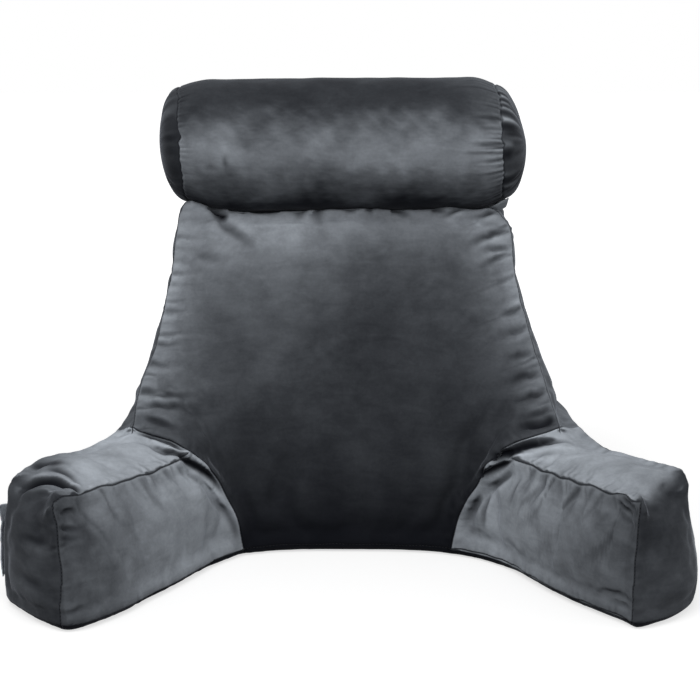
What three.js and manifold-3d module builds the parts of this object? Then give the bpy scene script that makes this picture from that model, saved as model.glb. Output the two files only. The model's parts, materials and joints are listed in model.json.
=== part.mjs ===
// A reading pillow with arms: a filled wedge backrest, two filled arms sewn to its front sides,
// a neck roll sewn along its top by a strip of cloth, and a patch pocket on one arm.
// Millimetres. +Z up, +X to the sitter's left, -Y the way the arms reach.
// The origin is on the flat underside of the backrest, on the plane between the arms.
import * as THREE from "three";
import { mergeVertices } from "three/addons/utils/BufferGeometryUtils.js";
import Module from "manifold-3d";

const wasm = await Module();
wasm.setup();

// Driving dimensions
const GAP = 0.3; // clear space between pieces that are sewn or pressed together
const LEAN = -9; // sideways lean of the soft backrest and its roll
const LEAN_RANGE = [80, 240]; // the heights between which the lean comes in
const BASE_SEAM_HEIGHT = 10; // the seam round the base stands this far off the floor
const BASE_INSET = 9; // the flat underside is this much smaller all round than its seam
const TOP_SADDLE = 11; // the corners of the backrest's top rise this far beside the roll
const TOP_HALF_WIDTH = 210;

const ROLL = {
  y: 45,
  z: 498,
  radius: 86,
  seamRadius: 71,
  seamHalfLength: 206,
  shoulder: 54, // length over which the barrel draws in to its end seams
  dome: 33, // how far each round end swells past its seam
  aroundSteps: 40,
  domeRings: 5,
  skew: 0.065, // how far the roll's top leans towards -X for its height
  tilt: 0.008, // how far its axis rises towards +X for its length
};
const BARREL_SECTIONS = [-1, -0.95, -0.9, -0.82, -0.7, -0.35, 0, 0.35, 0.7, 0.82, 0.9, 0.95, 1];
const barrelStations = BARREL_SECTIONS.map((share) => share * ROLL.seamHalfLength);

const STRIP = {
  thickness: 2,
  halfLength: 200,
  tabLength: 14, // the end that turns out beside the roll, on the +X side
  flare: 0.25, // how far the tab turns out for its length
  startAngle: -128, // degrees round the roll's axis; -90 is straight down
  endAngle: -58,
};

const POCKET = {
  thickness: 2,
  bottom: 38,
  top: 124,
  start: 0.1, // its ends, as a share of the arm's outer side from front to back
  end: 0.72,
  mouthGap: 2, // how much further the empty pocket's mouth stands off than its seams
  seamGap: 1.5,
  along: 14,
  up: 8,
};

const VELVET = { color: 0x3c4045, roughness: 0.85, metalness: 0 };
const VELVET_ROLL = { color: 0x43474c, roughness: 0.85, metalness: 0 };
const VELVET_TRIM = { color: 0x565a5f, roughness: 0.85, metalness: 0 };

// Backrest, a row for each height. Plan positions of the right half:
// mid: the front panel on the middle plane; cheek: its forward bulge beside the arm;
// edge: its side seam; back: the rear corner; crown: swell of the side panel and of the back panel;
// late: how late the front panel turns forward between the middle and the cheek.
const BACKREST_ROWS = [
  { z: 10, mid: -125, cheek: [204, -205], edge: [238, -182], back: [264, 134], crown: [14, 10], late: 3.7 },
  { z: 45, mid: -122, cheek: [205, -207], edge: [244, -184], back: [267, 137], crown: [16, 15], late: 3.6 },
  { z: 90, mid: -115, cheek: [204, -207], edge: [250, -183], back: [266, 137], crown: [17, 18], late: 3.3 },
  { z: 140, mid: -100, cheek: [202, -201], edge: [260, -177], back: [262, 135], crown: [16, 19], late: 2.9 },
  { z: 168, mid: -92, cheek: [204, -182], edge: [264, -160], back: [259, 133], crown: [14, 19], late: 2.8 },
  { z: 185, mid: -87, cheek: [205, -161], edge: [262, -146], back: [256, 132], crown: [13, 19], late: 2.7 },
  { z: 204, mid: -80, cheek: [204, -137], edge: [258, -126], back: [252, 130], crown: [12, 18], late: 2.6 },
  { z: 232, mid: -71, cheek: [199, -104], edge: [250, -98], back: [245, 126], crown: [9, 17], late: 2.5 },
  { z: 262, mid: -60, cheek: [192, -80], edge: [241, -79], back: [238, 122], crown: [6, 15], late: 2.3 },
  { z: 300, mid: -46, cheek: [182, -56], edge: [230, -57], back: [227, 117], crown: [4, 13], late: 2.2 },
  { z: 345, mid: -30, cheek: [172, -36], edge: [220, -34], back: [217, 110], crown: [3, 10], late: 2.1 },
  { z: 385, mid: -17, cheek: [166, -20], edge: [216, -18], back: [213, 103], crown: [3, 7], late: 2 },
  { z: 406, mid: -8, cheek: [162, -9], edge: [212, -7], back: [209, 97], crown: [2, 4], late: 2 },
  { z: 417, mid: 3, cheek: [158, 4], edge: [205, 5], back: [203, 88], crown: [1, 2], late: 2 },
];

// Arm, a row for each section from its front end to its root inside the backrest.
// inner and outer: plan positions of its two top seams, right arm; top: their heights;
// foot: how far the base seams stand out past the top ones; crown: swell of the top;
// bulge: swell of the two side panels.
const ARM_ROWS = [
  { inner: [326, -384], outer: [391, -310], top: [139, 147], foot: [6, 11], crown: 6, bulge: 6 },
  { inner: [316, -369], outer: [383, -296], top: [147, 157], foot: [12, 14], crown: 9, bulge: 10 },
  { inner: [299, -343], outer: [368, -270], top: [149, 161], foot: [15, 15], crown: 11, bulge: 12 },
  { inner: [271, -301], outer: [341, -227], top: [149, 159], foot: [16, 14], crown: 12, bulge: 12 },
  { inner: [243, -259], outer: [315, -186], top: [148, 156], foot: [14, 12], crown: 12, bulge: 10 },
  { inner: [215, -220], outer: [295, -146], top: [148, 160], foot: [8, 10], crown: 12, bulge: 8 },
  { inner: [184, -168], outer: [280, -98], top: [150, 167], foot: [4, 4], crown: 12, bulge: 5 },
  { inner: [150, -122], outer: [266, -48], top: [152, 170], foot: [0, 0], crown: 10, bulge: 2 },
  { inner: [120, -90], outer: [252, 0], top: [152, 170], foot: [0, 0], crown: 8, bulge: 0 },
];
const ARM_END_SWELL = 17; // the front end panel's crown
// Rings of the end panel from its middle outwards: share of the crown, and how far they draw in.
const ARM_END_RINGS = [
  [1, 0.74],
  [0.93, 0.46],
  [0.76, 0.25],
  [0.5, 0.11],
];
const ARM_SIDE_STEPS = 7;
const ARM_TOP_STEPS = 7;
const ARM_BASE_STEPS = 4;

// The slanting seam between backrest and arm, as a plane through three points of the right side.
const ARM_SEAM = {
  floorInside: [130, -136, 0],
  topInside: [190, -192, 148],
  topOutside: [268, -152, 172],
};
// The two arms aren't alike. cornerDrop: how far the outer top corner has sunk at the front end;
// flare: how far the front end reaches out; foot: how far its two base seams stand out further.
const ARM_SIDES = [
  { name: "arm_right", side: 1, cornerDrop: 4, flare: 1, foot: [0, 7] },
  { name: "arm_left", side: -1, cornerDrop: 0, flare: 8, foot: [15, 0] },
];

const FRONT_STEPS = 9; // from the middle to a cheek
const EDGE_STEPS = 3; // from a cheek to a side seam
const SIDE_STEPS = 8;
const BACK_STEPS = 12;

const lerp = THREE.MathUtils.lerp;
const vec = (x, y, z) => new THREE.Vector3(x, y, z);

// A closed solid through rings of the same number of points, closed by a fan at each end.
function loft(rings) {
  const perRing = rings[0].length;
  const points = rings.flat();
  const faces = [];
  for (let r = 0; r < rings.length - 1; r++) {
    for (let i = 0; i < perRing; i++) {
      const a = r * perRing + i;
      const b = r * perRing + ((i + 1) % perRing);
      const [c, d] = [b + perRing, a + perRing];
      const shorter = points[a].distanceTo(points[c]) < points[b].distanceTo(points[d]);
      faces.push(...(shorter ? [a, b, c, a, c, d] : [a, b, d, b, c, d]));
    }
  }
  for (const end of [0, rings.length - 1]) {
    const middle = points.length;
    points.push(rings[end].reduce((sum, p) => sum.add(p), vec(0, 0, 0)).divideScalar(perRing));
    for (let i = 0; i < perRing; i++) {
      const a = end * perRing + i;
      const b = end * perRing + ((i + 1) % perRing);
      faces.push(...(end === 0 ? [b, a, middle] : [a, b, middle]));
    }
  }
  return facingOut(new THREE.BufferGeometry().setFromPoints(points).setIndex(faces));
}

// The geometry with its faces turned outwards.
function facingOut(geometry) {
  const position = geometry.getAttribute("position");
  const index = geometry.index.array;
  const [a, b, c] = [vec(), vec(), vec()];
  let volume = 0;
  for (let i = 0; i < index.length; i += 3) {
    a.fromBufferAttribute(position, index[i]);
    b.fromBufferAttribute(position, index[i + 1]);
    c.fromBufferAttribute(position, index[i + 2]);
    volume += a.dot(b.cross(c));
  }
  if (volume < 0) {
    for (let i = 0; i < index.length; i += 3) {
      [index[i + 1], index[i + 2]] = [index[i + 2], index[i + 1]];
    }
  }
  return geometry;
}

// A solid from a closed geometry, without its faces of no area.
function solid(geometry) {
  const plain = geometry.clone();
  plain.deleteAttribute("normal");
  plain.deleteAttribute("uv");
  const merged = mergeVertices(plain, 1e-3);
  const faces = [];
  for (let i = 0; i < merged.index.count; i += 3) {
    const [a, b, c] = merged.index.array.slice(i, i + 3);
    if (a !== b && b !== c && c !== a) faces.push(a, b, c);
  }
  merged.setIndex(faces);
  return new wasm.Manifold(
    new wasm.Mesh({
      numProp: 3,
      vertProperties: merged.getAttribute("position").array,
      triVerts: new Uint32Array(facingOut(merged).index.array),
    }),
  );
}

function geometryOf(shape) {
  const mesh = shape.getMesh();
  const position = new THREE.BufferAttribute(new Float32Array(mesh.vertProperties), 3);
  return new THREE.BufferGeometry()
    .setAttribute("position", position)
    .setIndex(new THREE.BufferAttribute(new Uint32Array(mesh.triVerts), 1));
}

// Sideways lean of the soft body at a height.
const leanAt = (z) => LEAN * THREE.MathUtils.smoothstep(z, ...LEAN_RANGE);

// Points from a towards b, b left out, swelling to the right of the way from a to b.
function panel(a, b, bulge, steps) {
  const along = b.clone().sub(a);
  const out = vec(along.y, -along.x, 0).normalize();
  return Array.from({ length: steps }, (_, i) => {
    const t = i / steps;
    return a.clone().addScaledVector(along, t).addScaledVector(out, 4 * bulge * t * (1 - t));
  });
}

// One level section of the backrest, from the middle of its front round by +X.
function backrestRing(row, inset = 0, z = row.z) {
  const shrink = (x, y) => vec(x - inset * Math.sign(x), y + (y < 0 ? inset : -inset), z);
  const rightFront = [];
  for (let i = 0; i <= FRONT_STEPS; i++) {
    const u = i / FRONT_STEPS;
    const y = row.mid + (row.cheek[1] - row.mid) * u ** row.late;
    rightFront.push(shrink(u * row.cheek[0], y));
  }
  const cheek = rightFront.pop();
  const edge = shrink(...row.edge);
  const back = shrink(...row.back);
  const half = [
    ...rightFront,
    ...panel(cheek, edge, 3, EDGE_STEPS),
    ...panel(edge, back, row.crown[0], SIDE_STEPS),
  ];
  const otherBack = vec(-back.x, back.y, z);
  const otherHalf = half.slice(1).reverse().map((p) => vec(-p.x, p.y, p.z));
  const backPanel = panel(back, otherBack, row.crown[1], BACK_STEPS);
  return [...half, ...backPanel, otherBack, ...otherHalf].map((p) => {
    const saddle = TOP_SADDLE * THREE.MathUtils.smoothstep(z, 330, 417) * (p.x / TOP_HALF_WIDTH) ** 2;
    return vec(p.x + leanAt(z), p.y, p.z + saddle);
  });
}

function backrestSolid() {
  const base = BACKREST_ROWS[0];
  const rings = [backrestRing(base, BASE_INSET, 0), ...BACKREST_ROWS.map((row) => backrestRing(row))];
  rings.push(backrestRing(BACKREST_ROWS.at(-1), BASE_INSET, BACKREST_ROWS.at(-1).z + 6));
  return solid(loft(rings));
}

// One upright section of an arm, in the plane through its two side panels.
function armRing(row, arm, { push = 0, shrink = 0, drop = 0 } = {}) {
  const [inner, outer] = [row.inner, row.outer].map(([x, y]) => vec(x + flareAt(arm, y), y, 0));
  const across = outer.clone().sub(inner);
  const width = across.length();
  across.normalize();
  const forward = vec(across.y, -across.x, 0);
  const [footIn, footOut] = row.foot.map((foot, k) => foot + arm.foot[k] * Math.min(1, foot / 12));
  const seams = {
    innerBase: [-footIn, BASE_SEAM_HEIGHT],
    innerTop: [0, row.top[0]],
    outerTop: [width, row.top[1] - drop],
    outerBase: [width + footOut, BASE_SEAM_HEIGHT],
    outerFloor: [width + footOut - BASE_INSET, 0],
    innerFloor: [BASE_INSET - footIn, 0],
  };
  const run = (from, to, steps, bulge) => {
    const [s0, z0] = seams[from];
    const [s1, z1] = seams[to];
    const length = Math.hypot(s1 - s0, z1 - z0);
    return Array.from({ length: steps }, (_, i) => {
      const t = i / steps;
      const swell = 4 * bulge * t * (1 - t);
      const across = lerp(s0, s1, t) - (swell * (z1 - z0)) / length;
      return [across, lerp(z0, z1, t) + (swell * (s1 - s0)) / length];
    });
  };
  const outline = [
    ...run("innerBase", "innerTop", ARM_SIDE_STEPS, row.bulge),
    ...run("innerTop", "outerTop", ARM_TOP_STEPS, row.crown),
    ...run("outerTop", "outerBase", ARM_SIDE_STEPS, row.bulge),
    ...run("outerBase", "outerFloor", 1, 0),
    ...run("outerFloor", "innerFloor", ARM_BASE_STEPS, 0),
    ...run("innerFloor", "innerBase", 1, 0),
  ];
  const [midWidth, midHeight] = [width / 2, row.top[0] / 2];
  return outline.map(([s, z]) => {
    const p = inner.clone().addScaledVector(across, lerp(s, midWidth, shrink));
    p.addScaledVector(forward, push);
    p.z = lerp(z, midHeight, shrink);
    p.x *= arm.side;
    return p;
  });
}

// How far an arm reaches out beyond the rows, more towards its front end.
const flareAt = (arm, y) => arm.flare * THREE.MathUtils.smoothstep(-y, 180, 380);

function armSolid(arm) {
  const end = ARM_ROWS[0];
  const drop = arm.cornerDrop;
  const endRings = ARM_END_RINGS.map(([swell, shrink]) => {
    return armRing(end, arm, { push: swell * ARM_END_SWELL, shrink, drop });
  });
  const rings = ARM_ROWS.map((row, i) => armRing(row, arm, { drop: drop * Math.max(0, 1 - i / 3) }));
  return solid(loft([...endRings, ...rings]));
}

// The half space ahead of an arm's seam plane, on that arm's side, as a large block.
function aheadOfSeam(side, gap) {
  const [a, b, c] = Object.values(ARM_SEAM).map(([x, y, z]) => vec(side * x, y, z));
  const normal = b.clone().sub(a).cross(c.clone().sub(a)).normalize();
  if (normal.y > 0) normal.negate();
  const size = 900;
  const block = new THREE.BoxGeometry(size, size, size);
  const turn = new THREE.Quaternion().setFromUnitVectors(vec(0, 0, 1), normal);
  const centre = a.clone().addScaledVector(normal, (size + gap) / 2);
  block.applyMatrix4(new THREE.Matrix4().compose(centre, turn, vec(1, 1, 1)));
  const oneSide = new THREE.BoxGeometry(size, 2 * size, 2 * size).translate((side * size) / 2, 0, 0);
  return solid(block).intersect(solid(oneSide));
}

// The roll's radius at a distance from its middle, out to its end seams.
function rollRadiusAt(x) {
  const t = Math.max(0, Math.min(1, (ROLL.seamHalfLength - Math.abs(x)) / ROLL.shoulder));
  return ROLL.radius - (ROLL.radius - ROLL.seamRadius) * (1 - t) ** 2.4;
}

// A profile of [distance along, radius] points turned round the roll's axis.
function turned(profile) {
  const points = profile.map(([along, radius]) => new THREE.Vector2(radius, along));
  const lathe = new THREE.LatheGeometry(points, ROLL.aroundSteps);
  lathe.rotateZ(-Math.PI / 2);
  const slant = [vec(1, 0, ROLL.tilt), vec(0, 1, 0), vec(-ROLL.skew, 0, 1)];
  lathe.applyMatrix4(new THREE.Matrix4().makeBasis(...slant));
  lathe.translate(LEAN, ROLL.y, ROLL.z);
  return solid(lathe);
}

// Barrel with drawn-in ends and domed end discs.
function rollSolid(grow = 0) {
  const dome = Array.from({ length: ROLL.domeRings }, (_, i) => {
    const turn = (i / ROLL.domeRings) * (Math.PI / 2);
    const along = ROLL.seamHalfLength + (ROLL.dome + grow) * Math.cos(turn);
    return [along, (ROLL.seamRadius + grow) * Math.sin(turn) ** 0.8];
  });
  const barrel = barrelStations.map((x) => [x, rollRadiusAt(x) + grow]);
  const otherDome = dome.map(([along, radius]) => [-along, radius]);
  return turned([...otherDome, ...barrel, ...dome.reverse()]);
}

// The wedge under the roll between two angles round its axis, from the strip's one end to its tab.
function underRoll(grow = 0) {
  const degrees = THREE.MathUtils.radToDeg(grow / ROLL.radius);
  const angles = [STRIP.startAngle - degrees, STRIP.endAngle + degrees].map(THREE.MathUtils.degToRad);
  const reach = 3 * ROLL.radius;
  const shape = new THREE.Shape([new THREE.Vector2(0, 0)]);
  shape.moveTo(0, 0);
  angles.forEach((angle) => shape.lineTo(reach * Math.cos(angle), reach * Math.sin(angle)));
  const length = 2 * STRIP.halfLength + STRIP.tabLength + 2 * grow;
  const block = new THREE.ExtrudeGeometry(shape, { depth: length, bevelEnabled: false });
  block.applyMatrix4(new THREE.Matrix4().makeBasis(vec(0, 1, 0), vec(0, 0, 1), vec(1, 0, 0)));
  block.translate(LEAN - STRIP.halfLength - grow, ROLL.y, ROLL.z);
  return solid(block);
}

// The joining strip: a curved sheet under the roll, with a tab that turns out at one end.
const stripStations = [...barrelStations, ROLL.seamHalfLength + 30];
const stripRadiusAt = (x) => rollRadiusAt(x) + GAP + STRIP.flare * Math.max(0, x - STRIP.halfLength);

function stripSolid() {
  const inside = stripStations.map((x) => [x, stripRadiusAt(x)]);
  const outside = stripStations.map((x) => [x, stripRadiusAt(x) + STRIP.thickness]);
  return turned([...inside, ...outside.reverse(), inside[0]]).intersect(underRoll());
}

// The room that the strip takes out of the backrest's top.
function stripRoom() {
  const outside = stripStations.map((x) => [x, stripRadiusAt(x) + STRIP.thickness + GAP]);
  const [first, last] = [outside[0][0], outside.at(-1)[0]];
  return turned([[first, 0], ...outside, [last, 0]]).intersect(underRoll(GAP));
}

// A point of an arm's outer side panel, at a share of its length and a height, moved out by an offset.
function outerSidePoint(arm, share, z, offset) {
  const last = 5;
  const at = 1 + share * (last - 1);
  const i = Math.min(Math.floor(at), last - 1);
  const [a, b] = [ARM_ROWS[i], ARM_ROWS[i + 1]];
  const t = at - i;
  const seam = (row, key) => vec(row[key][0] + flareAt(arm, row[key][1]), row[key][1], 0);
  const inner = seam(a, "inner").lerp(seam(b, "inner"), t);
  const outer = seam(a, "outer").lerp(seam(b, "outer"), t);
  const along = seam(b, "outer").sub(seam(a, "outer")).normalize();
  const across = outer.clone().sub(inner).normalize();
  const normal = vec(along.y, -along.x, 0);
  const h = (z - BASE_SEAM_HEIGHT) / (lerp(a.top[1], b.top[1], t) - BASE_SEAM_HEIGHT);
  const foot = lerp(a.foot[1], b.foot[1], t);
  const swell = 4 * lerp(a.bulge, b.bulge, t) * h * (1 - h) + (1 - h) * foot;
  const p = outer.addScaledVector(across, swell).addScaledVector(normal, offset);
  return vec(arm.side * p.x, p.y, z);
}

// The patch pocket: a sheet that lies on the side panel at three edges and stands off at its mouth.
function pocketSolid(arm) {
  const rings = [];
  for (let i = 0; i <= POCKET.along; i++) {
    const s = i / POCKET.along;
    const share = lerp(POCKET.start, POCKET.end, s);
    const sheet = (extra) =>
      Array.from({ length: POCKET.up + 1 }, (_, k) => {
        const h = k / POCKET.up;
        const open = Math.sin(Math.PI * s) ** 0.6 * h ** 0.7;
        const z = lerp(POCKET.bottom, POCKET.top, h) - 5 * open;
        return outerSidePoint(arm, share, z, POCKET.seamGap + POCKET.mouthGap * open + extra);
      });
    rings.push([...sheet(0), ...sheet(POCKET.thickness).reverse()]);
  }
  return solid(loft(rings));
}

function mesh(name, shape, finish) {
  const made = new THREE.Mesh(geometryOf(shape), new THREE.MeshStandardMaterial(finish));
  made.name = name;
  return made;
}

const pillow = new THREE.Group();
const filled = ARM_SIDES.reduce((body, arm) => body.add(armSolid(arm)), backrestSolid());

let backrest = filled.subtract(rollSolid(GAP)).subtract(stripRoom());
for (const { name, side } of ARM_SIDES) {
  backrest = backrest.subtract(aheadOfSeam(side, -GAP));
  pillow.add(mesh(name, filled.intersect(aheadOfSeam(side, GAP)), VELVET));
}
pillow.add(mesh("backrest", backrest, VELVET));
pillow.add(mesh("neck_roll", rollSolid(), VELVET_ROLL));
pillow.add(mesh("roll_strip", stripSolid(), VELVET_TRIM));
pillow.add(mesh("arm_pocket", pocketSolid(ARM_SIDES[1]), VELVET_TRIM));

export default pillow;
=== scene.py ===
"""A velvet reading pillow: wedge backrest with flared arms, a neck roll and a patch pocket.

Metres in the row frame: +Z up, -Y the way the arms reach, +X to the sitter's left.
The tables give millimetres, for the right-hand side where both sides share them.
"""

import json
import logging
import math
from collections.abc import Callable, Iterable, Sequence
from dataclasses import dataclass, field
from enum import Enum

import bmesh
import bpy
import numpy as np
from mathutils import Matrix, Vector
from mathutils.bvhtree import BVHTree

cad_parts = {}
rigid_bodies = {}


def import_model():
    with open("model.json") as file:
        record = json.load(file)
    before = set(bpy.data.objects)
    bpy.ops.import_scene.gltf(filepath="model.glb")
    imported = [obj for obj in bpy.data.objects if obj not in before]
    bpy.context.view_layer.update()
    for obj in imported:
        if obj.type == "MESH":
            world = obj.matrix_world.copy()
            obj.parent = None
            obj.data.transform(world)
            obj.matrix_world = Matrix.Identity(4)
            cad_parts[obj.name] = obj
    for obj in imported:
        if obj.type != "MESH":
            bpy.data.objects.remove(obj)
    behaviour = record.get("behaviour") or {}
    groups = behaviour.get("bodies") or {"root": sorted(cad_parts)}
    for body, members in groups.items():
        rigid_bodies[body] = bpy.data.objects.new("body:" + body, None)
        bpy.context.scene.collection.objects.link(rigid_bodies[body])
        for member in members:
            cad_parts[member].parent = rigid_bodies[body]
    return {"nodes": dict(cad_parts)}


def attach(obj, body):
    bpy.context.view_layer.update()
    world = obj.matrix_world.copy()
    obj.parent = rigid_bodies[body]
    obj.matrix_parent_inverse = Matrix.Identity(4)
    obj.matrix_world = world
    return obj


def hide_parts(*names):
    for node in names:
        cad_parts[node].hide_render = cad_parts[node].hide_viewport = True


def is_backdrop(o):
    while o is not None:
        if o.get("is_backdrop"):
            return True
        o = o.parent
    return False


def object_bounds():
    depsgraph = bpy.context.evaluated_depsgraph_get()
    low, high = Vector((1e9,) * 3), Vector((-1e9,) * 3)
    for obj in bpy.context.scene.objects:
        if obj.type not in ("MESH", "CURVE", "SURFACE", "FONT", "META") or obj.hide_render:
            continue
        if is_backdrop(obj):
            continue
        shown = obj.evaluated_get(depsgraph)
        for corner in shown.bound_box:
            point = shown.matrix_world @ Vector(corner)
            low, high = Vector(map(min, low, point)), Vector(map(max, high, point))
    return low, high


log = logging.getLogger("reading_pillow")

MM = 0.001
TINY = 1e-9
Array = np.ndarray
Place = tuple[float, float, float]
Color = tuple[float, float, float]


class Side(Enum):
    """The two sides of the pillow, as the sign of their X."""

    LEFT = -1
    RIGHT = 1

    @property
    def tag(self) -> str:
        """The side's word in the seams' names."""
        return self.name.lower()


class Mask(str, Enum):
    """Names of the point attributes that the velvet reads; troughs carry painted shade, crests a
    painted highlight, and the tone painted light and shade with the pile's own tone.
    """

    SEAM = "seam_line"
    # painted shade in the troughs of folds, gathers and pleats
    FOLD = "fold_depth"
    # painted highlight on crests, ridges and the roll's rims
    CREST = "fold_crest"
    # the tone: brushed pile together with painted light, sheen and shade
    NAP = "nap_tone"


# ---- numbers and fields


def smoothstep(low: float, high: float, value: Array | float) -> Array:
    """A smooth rise from 0 to 1.

    Args:
        low: Where the rise starts.
        high: Where the rise ends.
        value: The numbers to map.

    Returns:
        The mapped numbers.
    """
    t = np.clip((np.asarray(value, float) - low) / (high - low), 0.0, 1.0)
    return t * t * (3.0 - 2.0 * t)


def bell(distance: Array, width: float) -> Array:
    """A bell curve of a distance, 1 at zero, with its width at exp(-1)."""
    return np.exp(-((distance / width) ** 2))


def unit(vectors: Array) -> Array:
    """Rows of vectors, each brought to length 1."""
    return vectors / np.maximum(np.linalg.norm(vectors, axis=1, keepdims=True), TINY)


def capped(vectors: Array, most: float) -> Array:
    """Rows of vectors, the longer ones brought down to a greatest length."""
    far = np.linalg.norm(vectors, axis=1, keepdims=True)
    return vectors * np.minimum(1.0, most / np.maximum(far, TINY))


def past(at: Sequence[float], faces: Sequence[float], x: Array, y: Array) -> Array:
    """How far places lie past a line through one place, the way that the line faces."""
    return faces[0] * (x - at[0]) + faces[1] * (y - at[1])


def drift(points: Array, size: float, seed: int, waves: int = 14) -> Array:
    """A smooth random field, about -1 to 1, the same on every run.

    Args:
        points: Places as rows of any width.
        size: The size of its blotches, in the unit of the points.
        seed: Seed of its waves.
        waves: How many plane waves make it.

    Returns:
        One number for each place.
    """
    rng = np.random.default_rng(seed)
    directions = rng.normal(size=(waves, points.shape[1]))
    directions /= np.linalg.norm(directions, axis=1, keepdims=True)
    pitch = size * rng.uniform(0.7, 1.6, waves)
    phases = rng.uniform(0.0, 2.0 * math.pi, waves)
    total = np.zeros(len(points))
    for direction, length, phase in zip(directions, pitch, phases, strict=True):
        total += np.sin(points @ direction * (2.0 * math.pi / length) + phase)
    return total / math.sqrt(waves)


# ---- paths and surfaces


@dataclass
class Reading:
    """Where the points near a line lie.

    Attributes:
        index: The points that are near.
        along: Their distance along the line.
        aside: Their distance to its side, below 0 on the right.
        facing: How alike the surface faces there and at the line, from -1 to 1.
        sample: The line's own point nearest to each.
        length: Length of the line.
    """

    index: Array
    along: Array
    aside: Array
    facing: Array
    sample: Array
    length: float


@dataclass
class Trail:
    """A line of evenly spaced points and, once it lies on a surface, the normals there."""

    points: Array
    normals: Array | None = None
    block: int = 20000

    @property
    def tangents(self) -> Array:
        """Unit direction of the line at each point."""
        return unit(np.gradient(self.points, axis=0))

    @property
    def lengths(self) -> Array:
        """Distance along the line at each point."""
        steps = np.linalg.norm(np.diff(self.points, axis=0), axis=1)
        return np.concatenate([[0.0], np.cumsum(steps)])

    @classmethod
    def through(cls, knots: Sequence[Place], step: float, soft: float = 0.012) -> "Trail":
        """A line from knot to knot with its bends rounded.

        Args:
            knots: Places that it passes, in millimetres.
            step: Spacing of its points, in metres.
            soft: Length over which a bend is rounded, in metres.

        Returns:
            The line.
        """
        corners = np.array(knots) * MM
        along = cls(corners).lengths
        count = max(3, int(round(along[-1] / step)) + 1)
        even = np.linspace(0.0, along[-1], count)
        line = np.stack([np.interp(even, along, column) for column in corners.T], axis=1)
        for _ in range(int((soft / step) ** 2)):
            line[1:-1] += 0.25 * (line[:-2] - 2.0 * line[1:-1] + line[2:])
        return cls(line)

    def wander(self, size: float, pitch: float, seed: int) -> None:
        """Lets the line stray sideways over its surface, as a hand-guided seam does.

        Args:
            size: How far it strays.
            pitch: How often.
            seed: Seed of the wander.
        """
        shift = size * drift(self.lengths[:, None], pitch, seed, 6)
        self.points += np.cross(self.normals, self.tangents) * shift[:, None]

    def on(self, surface: "Surface") -> "Trail":
        """The line laid on a surface, with the surface's normals evened out along it."""
        places, normals = surface.nearest(self.points)
        for _ in range(60):
            normals[1:-1] += 0.25 * (normals[:-2] - 2.0 * normals[1:-1] + normals[2:])
        return Trail(places, unit(normals))

    def measure(self, points: Array, normals: Array, reach: float) -> Reading:
        """Where places lie beside the line.

        Args:
            points: Places to measure.
            normals: Surface normals at those places.
            reach: How far from the line to measure.

        Returns:
            The reading, empty if no place is near.
        """
        low, high = self.points.min(0) - reach, self.points.max(0) + reach
        near = np.nonzero(((points > low) & (points < high)).all(1))[0]
        best = np.empty(len(near), int)
        for start in range(0, len(near), self.block):
            part = points[near[start : start + self.block]]
            squared = ((part[:, None, :] - self.points[None]) ** 2).sum(2)
            best[start : start + self.block] = squared.argmin(1)
        away = points[near] - self.points[best]
        keep = np.linalg.norm(away, axis=1) < reach
        near, best, away = near[keep], best[keep], away[keep]
        tangent = self.tangents[best]
        ahead = (away * tangent).sum(1)
        across = away - ahead[:, None] * tangent
        sideways = np.cross(self.normals[best], tangent)
        sign = np.where((across * sideways).sum(1) < 0, -1.0, 1.0)
        lengths = self.lengths
        return Reading(
            index=near,
            along=lengths[best] + ahead,
            aside=np.linalg.norm(across, axis=1) * sign,
            facing=(self.normals[best] * normals[near]).sum(1),
            sample=best,
            length=lengths[-1],
        )


class Surface:
    """A mesh held as arrays, to be pushed about before it becomes a piece."""

    def __init__(self, mesh: bpy.types.Mesh) -> None:
        """Takes the arrays of a mesh.

        Args:
            mesh: The mesh to work on.
        """
        self.mesh = mesh
        self.points = self._read(mesh.vertices, "co", 3, float)
        self.edges = self._read(mesh.edges, "vertices", 2, int)
        self._tree: BVHTree | None = None

    @staticmethod
    def _read(items: bpy.types.bpy_prop_collection, label: str, width: int, kind: type) -> Array:
        """One property of all items as rows of numbers."""
        values = np.empty(len(items) * width, kind)
        items.foreach_get(label, values)
        return values.reshape(-1, width)

    def store(self) -> None:
        """Writes the points back to the mesh."""
        self.mesh.vertices.foreach_set("co", self.points.ravel())
        self.mesh.update()
        self._tree = None

    def normals(self) -> Array:
        """Vertex normals of the points as they are now."""
        self.store()
        return self._read(self.mesh.vertex_normals, "vector", 3, float)

    def smooth(self, rounds: int, share: float = 0.5) -> None:
        """Evens the surface out.

        Args:
            rounds: How many passes.
            share: How far each point moves to the middle of its neighbours.
        """
        first, second = self.edges.T
        count = np.bincount(self.edges.ravel(), minlength=len(self.points))[:, None]
        for _ in range(rounds):
            total = np.zeros_like(self.points)
            np.add.at(total, first, self.points[second])
            np.add.at(total, second, self.points[first])
            self.points += (total / np.maximum(count, 1) - self.points) * share

    def nearest(self, places: Array) -> tuple[Array, Array]:
        """The nearest places on the surface.

        Args:
            places: Places to look from.

        Returns:
            The places found and the normals there.
        """
        if self._tree is None:
            self.store()
            faces = [tuple(p.vertices) for p in self.mesh.polygons]
            self._tree = BVHTree.FromPolygons(self.points.tolist(), faces)
        found = [self._tree.find_nearest(Vector(p)) for p in places]
        return np.array([f[0] for f in found]), np.array([f[1] for f in found])

    def mark(self, mask: Mask, values: Array) -> None:
        """Stores a number for each point as a point attribute."""
        layer = self.mesh.attributes.new(mask.value, "FLOAT", "POINT")
        layer.data.foreach_set("value", np.asarray(values, np.float32))


def placed(name: str, data: bpy.types.ID) -> bpy.types.Object:
    """A new object in the scene from its data."""
    made = bpy.data.objects.new(name, data)
    bpy.context.scene.collection.objects.link(made)
    return made


def finished_object(name: str, mesh: bpy.types.Mesh) -> bpy.types.Object:
    """A smooth piece in the scene from a mesh that is in place; both get the name."""
    mesh.name = name
    mesh.shade_smooth()
    return placed(name, mesh)


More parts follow.
